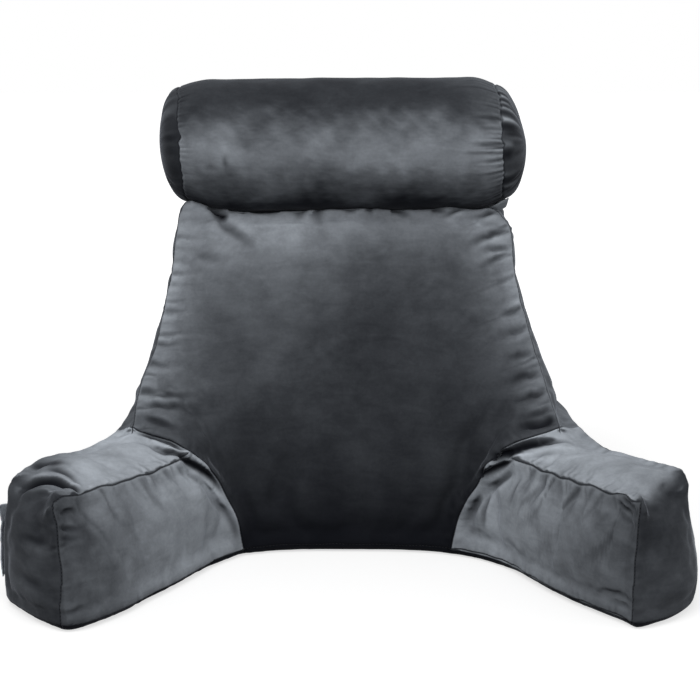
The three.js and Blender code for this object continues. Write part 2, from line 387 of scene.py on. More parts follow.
def baked(piece: bpy.types.Object) -> bpy.types.Mesh:
    """The mesh of a piece with its modifiers applied; the piece itself is removed."""
    graph = bpy.context.evaluated_depsgraph_get()
    graph.update()
    mesh = bpy.data.meshes.new_from_object(piece.evaluated_get(graph))
    bpy.data.objects.remove(piece)
    return mesh


def grid_mesh(rows: Array, closed: bool = False) -> bpy.types.Mesh:
    """A mesh of quads from rows of points.

    Args:
        rows: Points as (row, column, 3).
        closed: Whether each row closes on itself, and a point in the middle of the first row
            and of the last one closes the mesh.

    Returns:
        The mesh.
    """
    count, width = rows.shape[:2]
    points = rows.reshape(-1, 3).tolist()
    faces = []
    for start in range(0, (count - 1) * width, width):
        for c in range(width if closed else width - 1):
            a, b = start + c, start + (c + 1) % width
            faces.append((a, b, b + width, a + width))
    for start, flip in ((0, True), ((count - 1) * width, False)) if closed else ():
        middle = len(points)
        points.append(np.mean(points[start : start + width], axis=0).tolist())
        for c in range(width):
            a, b = start + c, start + (c + 1) % width
            faces.append((b, a, middle) if flip else (a, b, middle))
    mesh = bpy.data.meshes.new("grid")
    mesh.from_pydata(points, [], faces)
    outward = bmesh.new()
    outward.from_mesh(mesh)
    bmesh.ops.recalc_face_normals(outward, faces=outward.faces)
    outward.to_mesh(mesh)
    outward.free()
    return mesh


def walled(
    name: str, sheet: bpy.types.Mesh, thickness: float, tone: Callable[[Array], Array]
) -> bpy.types.Object:
    """Gives a single sheet its thickness and its masks.

    Args:
        name: The piece's name.
        sheet: The sheet, with no thickness.
        thickness: Its thickness in millimetres.
        tone: Gives its tone at some places, in metres, with the painted highlight that it holds.

    Returns:
        The finished piece.
    """
    single = finished_object(name, sheet)
    wall = single.modifiers.new("wall", "SOLIDIFY")
    wall.thickness = thickness * MM
    wall.offset = 0.0
    surface = Surface(baked(single))
    plain = np.zeros(len(surface.points))
    for mask in Mask:
        surface.mark(mask, tone(surface.points) if mask is Mask.NAP else plain)
    return finished_object(name, surface.mesh)


# ---- seams, folds, puckers


@dataclass(frozen=True)
class Seam:
    """A turned seam: its name, its line, and how the cloth dips into it.

    Attributes:
        name: What it joins.
        knots: Its places, in millimetres.
        depth: How deep the line is drawn in, in millimetres.
        shoulder: How far the cloth swells beside it, in millimetres.
        pull: Whether the surface is drawn out or in to the seam's own line.
        stray: How far the line strays sideways, in millimetres.
    """

    name: str
    knots: tuple[Place, ...]
    depth: float = 1.0
    shoulder: float = 0.2
    pull: bool = True
    stray: float = 0.6

    def trail(self, step: float = 0.002) -> Trail:
        """The seam's line in metres."""
        return Trail.through(self.knots, step)

    def laid(self, surface: Surface) -> Trail:
        """The seam's line as it strays over a surface."""
        trail = self.trail().on(surface)
        trail.wander(self.stray * MM, 0.045, sum(map(ord, self.name)))
        return trail.on(surface)


class Relief:
    """Moves along the normals with the masks of painted shade in their troughs and painted
    highlight on their crests.
    """

    def __init__(self, count: int) -> None:
        """A flat relief.

        Args:
            count: How many points it has.
        """
        self.move, self.trough, self.crest = np.zeros((3, count))

    @staticmethod
    def strengthen(mask: Array, index: Array, share: Array) -> None:
        """Raises a mask at some points to at least their share."""
        mask[index] = np.maximum(mask[index], share)


@dataclass(frozen=True)
class Fold:
    """A crease pressed into the cloth along a short line, its trough painted darker as shade and
    its ridge painted lighter as a highlight.

    Attributes:
        knots: Its places, in millimetres; they are laid on the surface.
        width: Half width of the trough, in millimetres.
        depth: Depth of the trough, in millimetres; below 0, it is a ridge instead, painted lighter
            as a highlight.
        ridge: Height of the ridge beside it, in millimetres.
        lean: 1 or -1, the side of the line that the ridge is on; 0 for both.
        flare: How much wider it is at its far end than at its start, as a share.
        fade: The last share of its length, over which it dies out.
        lead: The first share of its length, over which it starts.
        shade: How much darker than its depth gives its trough is painted, as shade.
    """

    knots: tuple[Place, ...]
    width: float = 4.5
    depth: float = 3.0
    ridge: float = 1.8
    lean: float = 1.0
    flare: float = 0.0
    fade: float = 0.75
    lead: float = 0.3
    shade: float = 1.0

    def laid(self, surface: Surface) -> Trail:
        """The crease's line on a surface."""
        return Trail.through(self.knots, 0.003).on(surface)

    def press(self, surface: Surface, normals: Array, out: Relief) -> None:
        """Adds the fold to a relief.

        Args:
            surface: The surface, as it is before the folds.
            normals: Its vertex normals.
            out: The relief to add to.
        """
        reach = 5.0 * self.width * MM + 0.004
        seen = self.laid(surface).measure(surface.points, normals, reach)
        share = seen.along / seen.length
        width = self.width * MM * (1.0 + self.flare * (np.clip(share, 0.0, 1.0) - 0.4))
        start = smoothstep(-0.04, self.lead, share)
        end = smoothstep(0.0, self.fade, 1.04 - share)
        taper = start * end * smoothstep(-0.1, 0.45, seen.facing)
        across = seen.aside / width
        lean = self.lean if self.lean else 1.0
        trough = bell(across, 0.85)
        near = bell(across * lean - 1.6, 1.0)
        far = bell(across * lean + 1.7, 1.1) * (0.9 if self.lean == 0 else 0.35)
        rise = self.ridge * (near + far)
        out.move[seen.index] += taper * (rise - self.depth * trough) * MM
        # A trough's mask is painted shade; a ridge's, and the ridge beside a trough, painted
        # highlight.
        if self.depth > 0:
            mask, strength = out.trough, min(1.15, self.shade * self.depth / 6.0)
        else:
            mask, strength = out.crest, min(1.2, -self.shade * self.depth / 2.0)
        out.strengthen(mask, seen.index, taper * trough * strength)
        out.strengthen(out.crest, seen.index, taper * near * min(1.0, self.ridge / 4.0))


@dataclass(frozen=True)
class Puckers:
    """Short gathers that run off a seam.

    Attributes:
        seam: Name of the seam.
        start: Where they start, as a share of the seam's length.
        end: Where they end.
        reach: How far they run from the seam, in millimetres.
        pitch: Their spacing, in millimetres.
        height: Their height, in millimetres.
        side: 1 or -1 for one side of the seam, 0 for both.
        slant: How far they shift along the seam for each unit away from it.
        seed: Seed of their unevenness.
    """

    seam: str
    start: float
    end: float
    reach: float = 22.0
    pitch: float = 15.0
    height: float = 1.4
    side: float = 0.0
    slant: float = 0.2
    seed: int = 1
    soft: float = 0.06

    def gather(self, trail: Trail, surface: Surface, normals: Array, out: Relief) -> None:
        """Adds the gathers to a relief.

        Args:
            trail: The seam's line on the surface.
            surface: The surface.
            normals: Its vertex normals.
            out: The relief to add to.
        """
        reach, pitch = self.reach * MM, self.pitch * MM
        seen = trail.measure(surface.points, normals, 2.6 * reach)
        away = np.abs(seen.aside)
        share = seen.along / seen.length
        window = smoothstep(self.start - self.soft, self.start + self.soft, share)
        window = window * (1.0 - smoothstep(self.end - self.soft, self.end + self.soft, share))
        if self.side:
            window = window * smoothstep(-0.001, 0.003, seen.aside * self.side)
        place = seen.along + self.slant * away * np.sign(seen.aside)
        uneven = drift(place[:, None], 3.1 * self.pitch * MM, self.seed, 5)
        phase = 2.0 * math.pi * place / pitch + 1.9 * uneven
        own = drift(place[:, None], 2.3 * self.pitch * MM, self.seed + 50, 5)
        own = np.clip(0.5 + 0.5 * own, 0, 1.4)
        length = reach * (0.35 + 0.75 * own)
        fade = np.exp(-((away / length) ** 1.5)) * smoothstep(0.0, 0.005, away)
        wave = np.sin(phase)
        size = window * fade * own
        out.move[seen.index] += self.height * MM * size * (wave - 0.3 * (1.0 - wave**2))
        # painted shade in the gathers' troughs and painted highlight on their crests
        strength = min(1.0, self.height / 2.0)
        for mask, level, sign in ((out.trough, 0.7, -1.0), (out.crest, 0.8, 1.0)):
            share = level * strength * size * np.clip(sign * wave, 0.0, 1.0)
            out.strengthen(mask, seen.index, share)


# ---- the pattern of the cover


@dataclass(frozen=True)
class Pattern:
    """Sizes of the sewn body, as in the CAD: rows for the backrest's corners and the arms."""

    lean: float = -9.0
    base_seam: float = 10.0
    # height, side seam x and y, rear corner x and y
    corners: tuple[tuple[float, float, float, float, float], ...] = (
        (10, 238, -182, 264, 134),
        (45, 244, -184, 267, 137),
        (90, 250, -183, 266, 137),
        (140, 260, -177, 262, 135),
        (168, 264, -160, 259, 133),
        (185, 262, -146, 256, 132),
        (204, 258, -126, 252, 130),
        (232, 250, -98, 245, 126),
        (262, 241, -79, 238, 122),
        (300, 230, -57, 227, 117),
        (345, 220, -34, 217, 110),
        (385, 216, -18, 213, 103),
        (406, 212, -7, 209, 97),
        (417, 205, 5, 203, 88),
    )
    # where the side seams start to show above the arms, and the rear corner that the arms' outer
    # seams run to, counted from the top
    side_foot: float = 168.0
    gusset_corner: int = 10
    # how far the backrest's top corners stand above its middle, from what height
    saddle: float = 11.0
    saddle_from: float = 330.0
    # inner x and y, outer x and y, inner and outer top, inner and outer foot
    arm: tuple[tuple[float, float, float, float, float, float, float, float], ...] = (
        (326, -384, 391, -310, 148, 150, 6, 11),
        (316, -369, 383, -296, 148, 157, 12, 14),
        (299, -343, 368, -270, 146, 161, 15, 15),
        (271, -301, 341, -227, 143, 159, 16, 14),
        (243, -259, 315, -186, 141, 156, 14, 12),
        (215, -220, 295, -146, 143, 160, 8, 10),
    )
    # where the seams between the arms' tops and inner sides start, left and right
    arm_roots: tuple[tuple[Place, ...], ...] = (
        ((-199, -192, 149), (-208, -201, 144)),
        ((203, -197, 143),),
    )
    # the seam from the side seam across the arm's top and down the front panel: x on the left, x
    # on the right, y and z
    junction: tuple[tuple[float, float, float, float], ...] = (
        (265, 266, -156, 173),
        (243, 243, -170, 168),
        (218, 216, -181, 163),
        (194, 188, -185, 153),
        (172, 168, -172, 127),
        (159, 157, -158, 98),
        (145, 138, -146, 60),
        (138, 130, -142, 28),
        (136, 128, -139, 10),
    )
    # the rest of the arms' outer seams and of the base seams, from the arms back to the corners
    gusset: tuple[Place, ...] = ((281, -98, 166), (277, -30, 163), (270, 60, 158))
    base_front: Place = (175, -179, 10)
    base_side: tuple[Place, ...] = ((278, -92, 10), (276, 0, 10))
    # how far the arms' front ends swell, down their upright seams
    end_swell: float = 9.0
    end_bulge: tuple[tuple[float, float], ...] = (
        (0.0, 0.15), (0.2, 0.75), (0.5, 1.0), (0.8, 0.75), (1.0, 0.25)
    )  # fmt: skip
    left_flare: float = 8.0
    right_flare: float = 1.0
    # the right arm's top outer corner stands higher and closer in
    right_lift: float = 10.0
    right_tuck: float = 5.0
    left_foot: float = 15.0
    right_foot: float = 5.0

    def leaning(self, z: float) -> float:
        """Sideways lean of the body at a height."""
        return self.lean * float(smoothstep(80, 240, z))

    def corner(self, side: Side, row: Sequence[float], rear: bool) -> Place:
        """A corner of the backrest in one level section."""
        z, x, y = row[0], row[3 if rear else 1], row[4 if rear else 2]
        raised = self.saddle * float(smoothstep(self.saddle_from, 417, z)) * (x / 210.0) ** 2
        return side.value * x + self.leaning(z), y, z + raised

    def arm_place(self, side: Side, row: Sequence[float], outer: bool, foot: bool) -> Place:
        """A seam corner of one section of an arm."""
        inner_xy, outer_xy = np.array(row[:2]), np.array(row[2:4])
        across = (outer_xy - inner_xy) / np.linalg.norm(outer_xy - inner_xy)
        left = side is Side.LEFT
        x, y = outer_xy if outer else inner_xy
        z = row[5 if outer else 4]
        if foot:
            stand = row[7] if outer else -row[6]
            extra = self.left_foot if left and not outer else 0.0
            stand -= extra * min(1.0, row[6] / 12.0)
            if outer and not left:
                stand -= self.right_foot * float(smoothstep(280, 310, -row[3]))
            x, y = (outer_xy if outer else inner_xy) + across * stand
            z = self.base_seam
        flare = self.left_flare if left else self.right_flare
        flare *= float(smoothstep(180, 380, -y))
        if not left and outer and not foot:
            square = float(smoothstep(280, 310, -y))
            flare, z = flare - self.right_tuck * square, z + self.right_lift * square
        return side.value * (x + flare), y, z

    def seams(self) -> dict[str, Seam]:
        """All the seams of the body, by name."""
        made = [seam for side in Side for seam in self._side_seams(side)]
        named = {seam.name: seam for seam in made}
        tops = [named[f"{side.tag}_side"].knots[0] for side in Side]
        feet = [named[f"{side.tag}_rear"].knots[-1] for side in Side]
        backs = [self.corner(side, self.corners[-1], True) for side in Side]
        front = (tops[0], (-150, 34, 426), (0, 40, 424), (150, 34, 426), tops[1])
        base = ((-134, -140, 10), (-70, -127, 10), (70, -127, 10), (134, -140, 10))
        made += [
            Seam("top_front", front, depth=0.2, pull=False),
            Seam("top_rear", (backs[0], (0, 90, 418), backs[1]), pull=False),
            Seam("base_front", base, pull=False),
            Seam("base_rear", (feet[0], (0, 144, 10), feet[1]), pull=False),
        ]
        return {seam.name: seam for seam in made}

    def _side_seams(self, side: Side) -> list[Seam]:
        """The seams of one side of the body."""
        tag, sign = side.tag, side.value
        down = self.corners[::-1]
        sides = [self.corner(side, row, False) for row in down if row[0] >= self.side_foot]
        rear = [self.corner(side, row, True) for row in down]
        bend = [
            (sign * (left if side is Side.LEFT else right) + self.leaning(z), y, z)
            for left, right, y, z in self.junction
        ]
        inner, outer, inner_foot, outer_foot = (
            [self.arm_place(side, row, is_outer, is_foot) for row in self.arm]
            for is_foot in (False, True)
            for is_outer in (False, True)
        )
        gusset, base_side, (base_front,) = (
            [(sign * x, y, z) for x, y, z in places]
            for places in (self.gusset, self.base_side, (self.base_front,))
        )
        root = self.arm_roots[side is Side.RIGHT]
        base = (bend[-1], base_front, *reversed(inner_foot), *outer_foot, *base_side, rear[-1])
        return [
            Seam(f"{tag}_side", tuple(sides)),
            Seam(f"{tag}_junction", tuple(bend), depth=1.6),
            Seam(f"{tag}_arm_inner", (*root, *reversed(inner)), stray=1.3, depth=0.65),
            Seam(f"{tag}_end_inner", self._upright(inner[0], inner_foot[0], side, -0.45)),
            Seam(f"{tag}_end_outer", self._upright(outer[0], outer_foot[0], side, 0.35)),
            Seam(f"{tag}_arm_outer", (*outer, *gusset, rear[self.gusset_corner - 1])),
            Seam(f"{tag}_rear", tuple(rear)),
            Seam(f"{tag}_base", base, pull=False),
        ]

    def _upright(self, top: Place, foot: Place, side: Side, inward: float) -> tuple[Place, ...]:
        """The line of an upright seam of an arm's front end."""
        top_at, foot_at = np.array(top, float), np.array(foot, float)
        swell = np.array([side.value * inward, -0.9, 0.0]) * self.end_swell
        return tuple(
            tuple(top_at + (foot_at - top_at) * t + swell * forward)
            for t, forward in self.end_bulge
        )


FOLDS: tuple[Fold, ...] = (
    # the sunken top corner of the left arm's front end; the first crease is mostly painted shade,
    # with little depth
    Fold(((-376, -292, 158), (-359, -283, 163), (-346, -288, 166), (-333, -302, 166)),
         11, 2.5, 0.5, 0, 0, 0.4, 0.3, 1.9),
    Fold(((-352, -300, 160), (-332, -315, 160), (-317, -323, 157), (-305, -330, 152)),
         6.5, 3.0, 1.0, 0, -0.4, 0.6, 0.3, 1.3),
    Fold(((-382, -324, 140), (-368, -328, 146), (-357, -331, 154), (-347, -333, 155),
          (-337, -335, 152), (-326, -338, 149), (-314, -345, 149), (-305, -343, 147)),
         6.5, 7, 3.2, 0, -0.4, 0.2, 0.25, 1.0),
    Fold(((-377, -331, 140), (-366, -342, 147), (-355, -346, 152), (-344, -351, 152),
          (-333, -361, 153), (-321, -357, 151), (-309, -347, 146)), 2.6, -1.6, 0, 0, 0, 0.5, 0.3),
    Fold(((-339, -390, 99), (-359, -378, 101), (-384, -350, 98)), 6, 3.2, 1.4, 1),
    Fold(((-345, -392, 50), (-362, -378, 52), (-384, -345, 60)), 7, 2.4, 1.0, 1),
    # short creases beside the left arm's upright seam
    Fold(((-329, -384, 134), (-314, -370, 132), (-298, -355, 126)), 3.4, 2.0, 1.2),
    Fold(((-329, -390, 119), (-312, -376, 116), (-294, -360, 111)), 3.4, 2.4, 1.5),
    Fold(((-328, -391, 107), (-313, -383, 104), (-300, -371, 100)), 3.4, 1.5, 0.8),
    Fold(((-326, -394, 24), (-310, -391, 24), (-296, -378, 19)), 3.6, 1.8, 1.0),
    # fine drags under the left arm's top seam
    Fold(((-239, -254, 144), (-222, -242, 122)), 4, 1.3, 1.0),
    Fold(((-226, -236, 144), (-200, -214, 111)), 4, 1.6, 1.2),
    Fold(((-211, -214, 142), (-192, -195, 114)), 4, 1.6, 1.2),
    Fold(((-198, -200, 130), (-177, -172, 98)), 4, 1.6, 1.2),
    # where the left arm meets the backrest
    Fold(((-268, -160, 168), (-246, -171, 164), (-224, -180, 161), (-207, -189, 156),
          (-196, -190, 149)), 4, 4, 1.2, 0, 0.4, 0.3, 0.3, 1.2),
    Fold(((-264, -178, 163), (-242, -193, 157), (-226, -197, 151), (-213, -198, 147),
          (-204, -194, 142), (-192, -179, 131), (-177, -170, 118), (-168, -164, 108),
          (-162, -161, 97), (-156, -156, 85)), 5, 6, 1.6, 0, -0.3, 0.3, 0.55, 1.1),
    Fold(((-214, -190, 155), (-198, -191, 148), (-186, -183, 137), (-177, -176, 128),
          (-168, -166, 115)), 4, -1.4, 0, 0, 0, 0.4, 0.3),
    Fold(((-203, -194, 149), (-192, -187, 142), (-183, -179, 131), (-175, -173, 122)),
         2.2, 1.2, 0.4, 0),
    Fold(((-192, -182, 120), (-178, -169, 108), (-165, -162, 89), (-155, -156, 77),
          (-149, -153, 64)), 4.5, -1.6, 0, 0, 0.2, 0.5, 0.4),
    Fold(((-183, -174, 98), (-171, -158, 78), (-163, -155, 70), (-155, -154, 63),
          (-147, -152, 50), (-142, -149, 34), (-141, -146, 16)),
         5, 2.8, 1.0, 0, 0.4, 0.3, 0.6, 0.9),
    # drags across the foot of the left side seam
    Fold(((-258, -124, 210), (-218, -132, 208), (-178, -119, 203)), 4.5, 2.4, 1.8, 1, 0.6),
    Fold(((-262, -136, 198), (-229, -143, 197), (-184, -132, 190)), 4.5, 3.4, 2.6, 1, 0.4),
    Fold(((-260, -143, 184), (-238, -150, 177), (-219, -161, 174), (-200, -168, 170)),
         5, 3.0, 1.6, 0, 0.3, 0.6, 0.25, 1.1),
    # the backrest's top corners
    Fold(((-174, -8, 405), (-154, -13, 395), (-132, -24, 383), (-116, -27, 368)),
         8, 3.4, 2.0, 1, 0, 0.6, 0.3, 0.8),
    Fold(((-182, 5, 424), (-171, 1, 415), (-163, -7, 410), (-155, -7, 409)),
         8, 11, 3, 0, 0, 0.35, 0.1, 0.9),
    Fold(((-204, -30, 366), (-180, -30, 362), (-150, -34, 358)), 6, 1.4, 0.9, -1, 0.5),
    Fold(((196, 4, 424), (173, -9, 416), (150, -11, 407)), 5, 4.0, 2.6, 1),
    Fold(((150, 4, 424), (131, -2, 417), (112, -9, 408)), 5, 3.0, 2.2, 1),
    Fold(((206, -16, 397), (181, -20, 394), (164, -23, 384), (140, -27, 370)),
         5.5, 4.0, 2.8, 1, 0.4),
    Fold(((206, -26, 374), (179, -28, 373), (158, -28, 367)), 4.5, 3.0, 2.2, -1, 0.4),
    Fold(((204, -30, 370), (190, -31, 364), (176, -34, 355), (156, -36, 344)),
         4.5, 2.6, 2.0, -1, 0.4),
    # scallops where the roll presses on the backrest
    Fold(((-139, 4, 424), (-138, 0, 412)), 5, 3.0, 1.2, 0, 0, 0.8, 0.1),
    Fold(((-66, 4, 424), (-64, -1, 412), (-66, -4, 402)), 8, 2.6, 0.8, 0, -0.5, 0.9, 0.1, 1.1),
    Fold(((-46, 4, 424), (-40, -1, 410), (-40, -8, 396)), 9, 2.8, 0.8, 0, -0.6, 0.9, 0.1, 1.0),
    Fold(((0, 4, 422), (0, -2, 411)), 9, 2.2, 0.6, 0, -0.5, 0.9, 0.1, 1.2),
    Fold(((22, 4, 422), (30, -3, 410)), 6, 2.4, 0.8, 0, -0.5, 0.9, 0.1, 1.2),
    Fold(((52, 4, 424), (66, 1, 415), (84, -6, 408)), 7, 3.4, 1.0, 0, -0.7, 0.9, 0.1, 1.2),
    Fold(((104, 4, 426), (118, 0, 417), (132, -4, 412)), 6, 2.4, 1.2, 0, -0.5, 0.9, 0.1, 1.1),
    # drags off the right side seam
    Fold(((222, -56, 301), (197, -61, 297), (174, -62, 290)), 6, 2.0, 1.4, 1, 0.5),
    Fold(((230, -71, 278), (205, -74, 276), (180, -78, 266)), 6, 2.2, 1.5, 1, 0.5),
    Fold(((237, -86, 253), (211, -92, 249), (184, -98, 238)), 6, 2.6, 1.8, 1, 0.5),
    Fold(((245, -100, 231), (219, -110, 227), (182, -119, 215)), 6, 2.8, 2.0, 1, 0.5),
    Fold(((251, -118, 212), (224, -130, 207), (188, -137, 200)), 5.5, 3.2, 2.4, -1, 0.5),
    Fold(((255, -134, 197), (229, -149, 190), (200, -160, 183)), 5.5, 2.8, 2.2, -1, 0.5),
    Fold(((256, -148, 186), (245, -155, 179), (232, -158, 176), (215, -160, 174),
          (202, -163, 174)), 8, 4.0, 1.0, 0, 0.3, 0.55, 0.2, 1.3),
    # where the right arm meets the backrest
    Fold(((174, -176, 138), (192, -185, 147), (204, -184, 152), (223, -183, 158),
          (242, -181, 161), (263, -179, 160), (280, -176, 157)),
         6.4, 8, 1.0, 0, -0.7, 0.6, 0.06, 1.1),
    Fold(((159, -162, 113), (173, -171, 121), (188, -180, 131), (200, -191, 141),
          (206, -198, 145)), 4.8, 6.5, 0.8, 0, -1.0, 0.5, 0.08, 1.1),
    Fold(((168, -173, 128), (181, -187, 137), (197, -194, 145), (211, -200, 151),
          (231, -195, 157)), 4, -2.0, 0, 0, 0, 0.6, 0.3),
    Fold(((219, -203, 148), (240, -206, 154), (263, -208, 159)), 6, 1.8, 1.0, 1, 0, 0.6),
    Fold(((165, -160, 88), (156, -150, 69), (149, -147, 50), (147, -147, 34)),
         6, 3.4, 1.8, 0, 0.6, 0.7, 0.3),
    Fold(((174, -167, 94), (169, -167, 80), (166, -165, 58), (168, -163, 34)),
         4, 2.4, 1.6, 0, 0.3, 0.7, 0.3),
    Fold(((200, -196, 128), (184, -181, 110), (171, -166, 94), (165, -160, 80)),
         4.6, 3.2, 2.0, 0, 0.3, 0.6),
    Fold(((206, -208, 124), (197, -215, 102), (190, -206, 78)), 6, 1.9, 1.4),
    Fold(((234, -246, 137), (222, -249, 113), (215, -248, 88)), 6, 1.6, 1.2),
    Fold(((220, -226, 137), (211, -228, 112), (206, -226, 92)), 6, 1.4, 1.1),
    Fold(((264, -303, 128), (254, -299, 109), (245, -290, 92)), 6, 1.3, 1.0),
    Fold(((306, -357, 147), (316, -371, 142), (327, -385, 134)), 3.4, 3.0, 2.0),
    Fold(((301, -354, 140), (311, -368, 134), (323, -383, 126)), 3.6, 2.6, 1.6),
    Fold(((304, -358, 129), (314, -374, 123), (324, -387, 116)), 4, 1.6, 1.0),
    Fold(((325, -391, 35), (305, -378, 37), (283, -353, 33)), 4, 1.8, 1.0),
    Fold(((324, -390, 26), (307, -379, 25), (290, -360, 23)), 3.6, 1.2, 0.8),
    # soft drags on the back
    Fold(((-232, 120, 280), (-170, 146, 262), (-110, 152, 250)), 8, 2.6, 1.6, 1, 0.6),
    Fold(((-250, 128, 215), (-190, 150, 206), (-130, 158, 204)), 8, 2.4, 1.6, -1, 0.6),
    Fold(((226, 120, 300), (170, 140, 286), (120, 146, 268)), 8, 2.6, 1.6, 1, 0.6),
    Fold(((252, 130, 160), (200, 152, 150), (150, 158, 150)), 9, 2.2, 1.4, -1, 0.6),
    Fold(((-120, 92, 412), (-112, 118, 370), (-96, 130, 330)), 8, 2.4, 1.5, 0, 0.6),
    Fold(((90, 92, 412), (96, 118, 372), (112, 130, 338)), 8, 2.2, 1.4, 0, 0.6),
    Fold(((-262, 134, 60), (-210, 150, 66), (-150, 156, 74)), 9, 2.2, 1.4, 1, 0.6),
)

PUCKERS: tuple[Puckers, ...] = (
    Puckers("left_side", 0.0, 0.35, 22, 17, 1.2, seed=3),
    Puckers("left_side", 0.35, 1.0, 30, 14, 1.8, seed=4),
    Puckers("right_side", 0.0, 0.3, 26, 14, 1.6, seed=5),
    Puckers("right_side", 0.3, 1.0, 32, 17, 1.6, seed=6),
    Puckers("top_front", 0.05, 0.95, 22, 27, 1.0, slant=0.3, seed=7),
    Puckers("left_arm_inner", 0.0, 0.85, 46, 23, 1.0, 1, 0.45, 31),
    Puckers("right_arm_inner", 0.0, 0.85, 52, 21, 1.4, -1, -0.45, 32),
    Puckers("left_junction", 0.1, 0.7, 12, 13, 0.9, seed=8),
    Puckers("right_junction", 0.1, 1.0, 14, 15, 0.9, seed=9),
    Puckers("left_arm_inner", 0.0, 0.5, 18, 12, 0.9, seed=10),
    Puckers("left_arm_inner", 0.5, 1.0, 12, 16, 0.6, seed=11),
    Puckers("right_arm_inner", 0.0, 0.5, 24, 14, 1.0, seed=12),
    Puckers("right_arm_inner", 0.5, 1.0, 15, 12, 0.8, seed=13),
    Puckers("left_end_inner", 0.0, 1.0, 13, 13, 0.7, seed=14),
    Puckers("right_end_inner", 0.0, 1.0, 10, 15, 0.6, seed=15),
    Puckers("left_end_outer", 0.0, 1.0, 12, 17, 0.6, seed=16),
    Puckers("right_end_outer", 0.0, 1.0, 12, 17, 0.6, seed=17),
    Puckers("left_arm_outer", 0.0, 0.5, 16, 26, 0.9, seed=18),
    Puckers("right_arm_outer", 0.0, 0.5, 16, 26, 0.9, seed=19),
    Puckers("left_rear", 0.0, 1.0, 24, 24, 1.2, seed=20),
    Puckers("right_rear", 0.0, 1.0, 24, 24, 1.2, seed=21),
    Puckers("left_base", 0.0, 1.0, 10, 19, 0.6, seed=22),
    Puckers("right_base", 0.0, 1.0, 10, 19, 0.6, seed=23),
    Puckers("base_rear", 0.0, 1.0, 14, 21, 0.9, seed=24),
    Puckers("base_front", 0.0, 1.0, 10, 21, 0.5, seed=25),
)


@dataclass(frozen=True)
class Spot:
    """A region of the body with soft edges, and what is done there.

    Attributes:
        at: Its middle, in millimetres.
        size: Its half sizes along X, Y and Z, in millimetres.
        amount: How far the filling is shoved, in millimetres, or how much lighter (above 0) or
            darker (below 0) the tone is, pile and painted light and shade together.
    """

    at: Place
    size: Place
    amount: Place | float

    def spread(self, points: Array) -> Array:
        """The amount at some places in metres, full at the middle and fading outwards."""
        away = (points / MM - np.array(self.at)) / np.array(self.size)
        return np.multiply.outer(np.exp(-(away**2).sum(1)), self.amount)


PUSHES: tuple[Spot, ...] = (
    # the backrest's flanks and top corners
    Spot((-262, 90, 228), (60, 110, 75), (5, 0, 0)),
    Spot((-282, -30, 222), (32, 95, 58), (12, 0, 0)),
    Spot((-255, -40, 278), (30, 90, 42), (5, 0, 0)),
    Spot((255, -40, 275), (30, 90, 60), (-2, 0, 0)),
    Spot((-385, -325, 150), (35, 42, 30), (2, 0, -1)),
    Spot((250, 90, 255), (60, 110, 100), (-6, 0, 0)),
    Spot((-212, 0, 385), (45, 70, 50), (4.5, 0, 0)),
    Spot((-208, 0, 414), (24, 60, 20), (-1, 0, 0)),
    Spot((198, 0, 426), (16, 60, 20), (0, 0, -8)),
    Spot((216, 0, 404), (18, 60, 14), (2.5, 0, 1)),
    Spot((212, 0, 420), (45, 60, 35), (-2, 0, -6)),
    Spot((-288, -60, 178), (55, 80, 45), (-7, 0, 4)),
    Spot((-335, -205, 166), (40, 50, 30), (0, 0, -2.5)),
    # the arms' tops and ends
    Spot((350, -235, 160), (75, 90, 45), (0, 0, -1.5)),
    Spot((332, -228, 165), (40, 60, 30), (0, 0, -2)),
    Spot((312, -190, 160), (40, 45, 30), (0, 0, -3)),
    Spot((405, -300, 40), (60, 80, 55), (6, 0, 0)),
    Spot((402, -300, 95), (40, 80, 35), (2, 0, 0)),
    Spot((412, -270, 48), (36, 34, 58), (8, 0, 0)),
    Spot((255, -290, 10), (90, 70, 40), (-2, -4, 0)),
    Spot((-175, -192, 8), (60, 50, 40), (2, -5, 0)),
    Spot((-310, -392, 12), (45, 30, 40), (4, -5, 0)),
    Spot((366, -352, 12), (52, 52, 45), (7, -15, 0)),
    Spot((-290, -335, 12), (60, 60, 45), (10, -10, 0)),
    Spot((-165, -178, 8), (45, 40, 40), (3, -9, 0)),
    Spot((30, -128, 5), (140, 40, 30), (0, -4.5, 0)),
    Spot((-225, -235, 10), (60, 60, 40), (7, -5, 0)),
    Spot((-405, -290, 130), (45, 70, 40), (4, 0, 0)),
    Spot((-345, -268, 168), (40, 50, 30), (0, 0, 3)),
    Spot((-372, -368, 12), (48, 48, 42), (-4, -6, 0)),
)
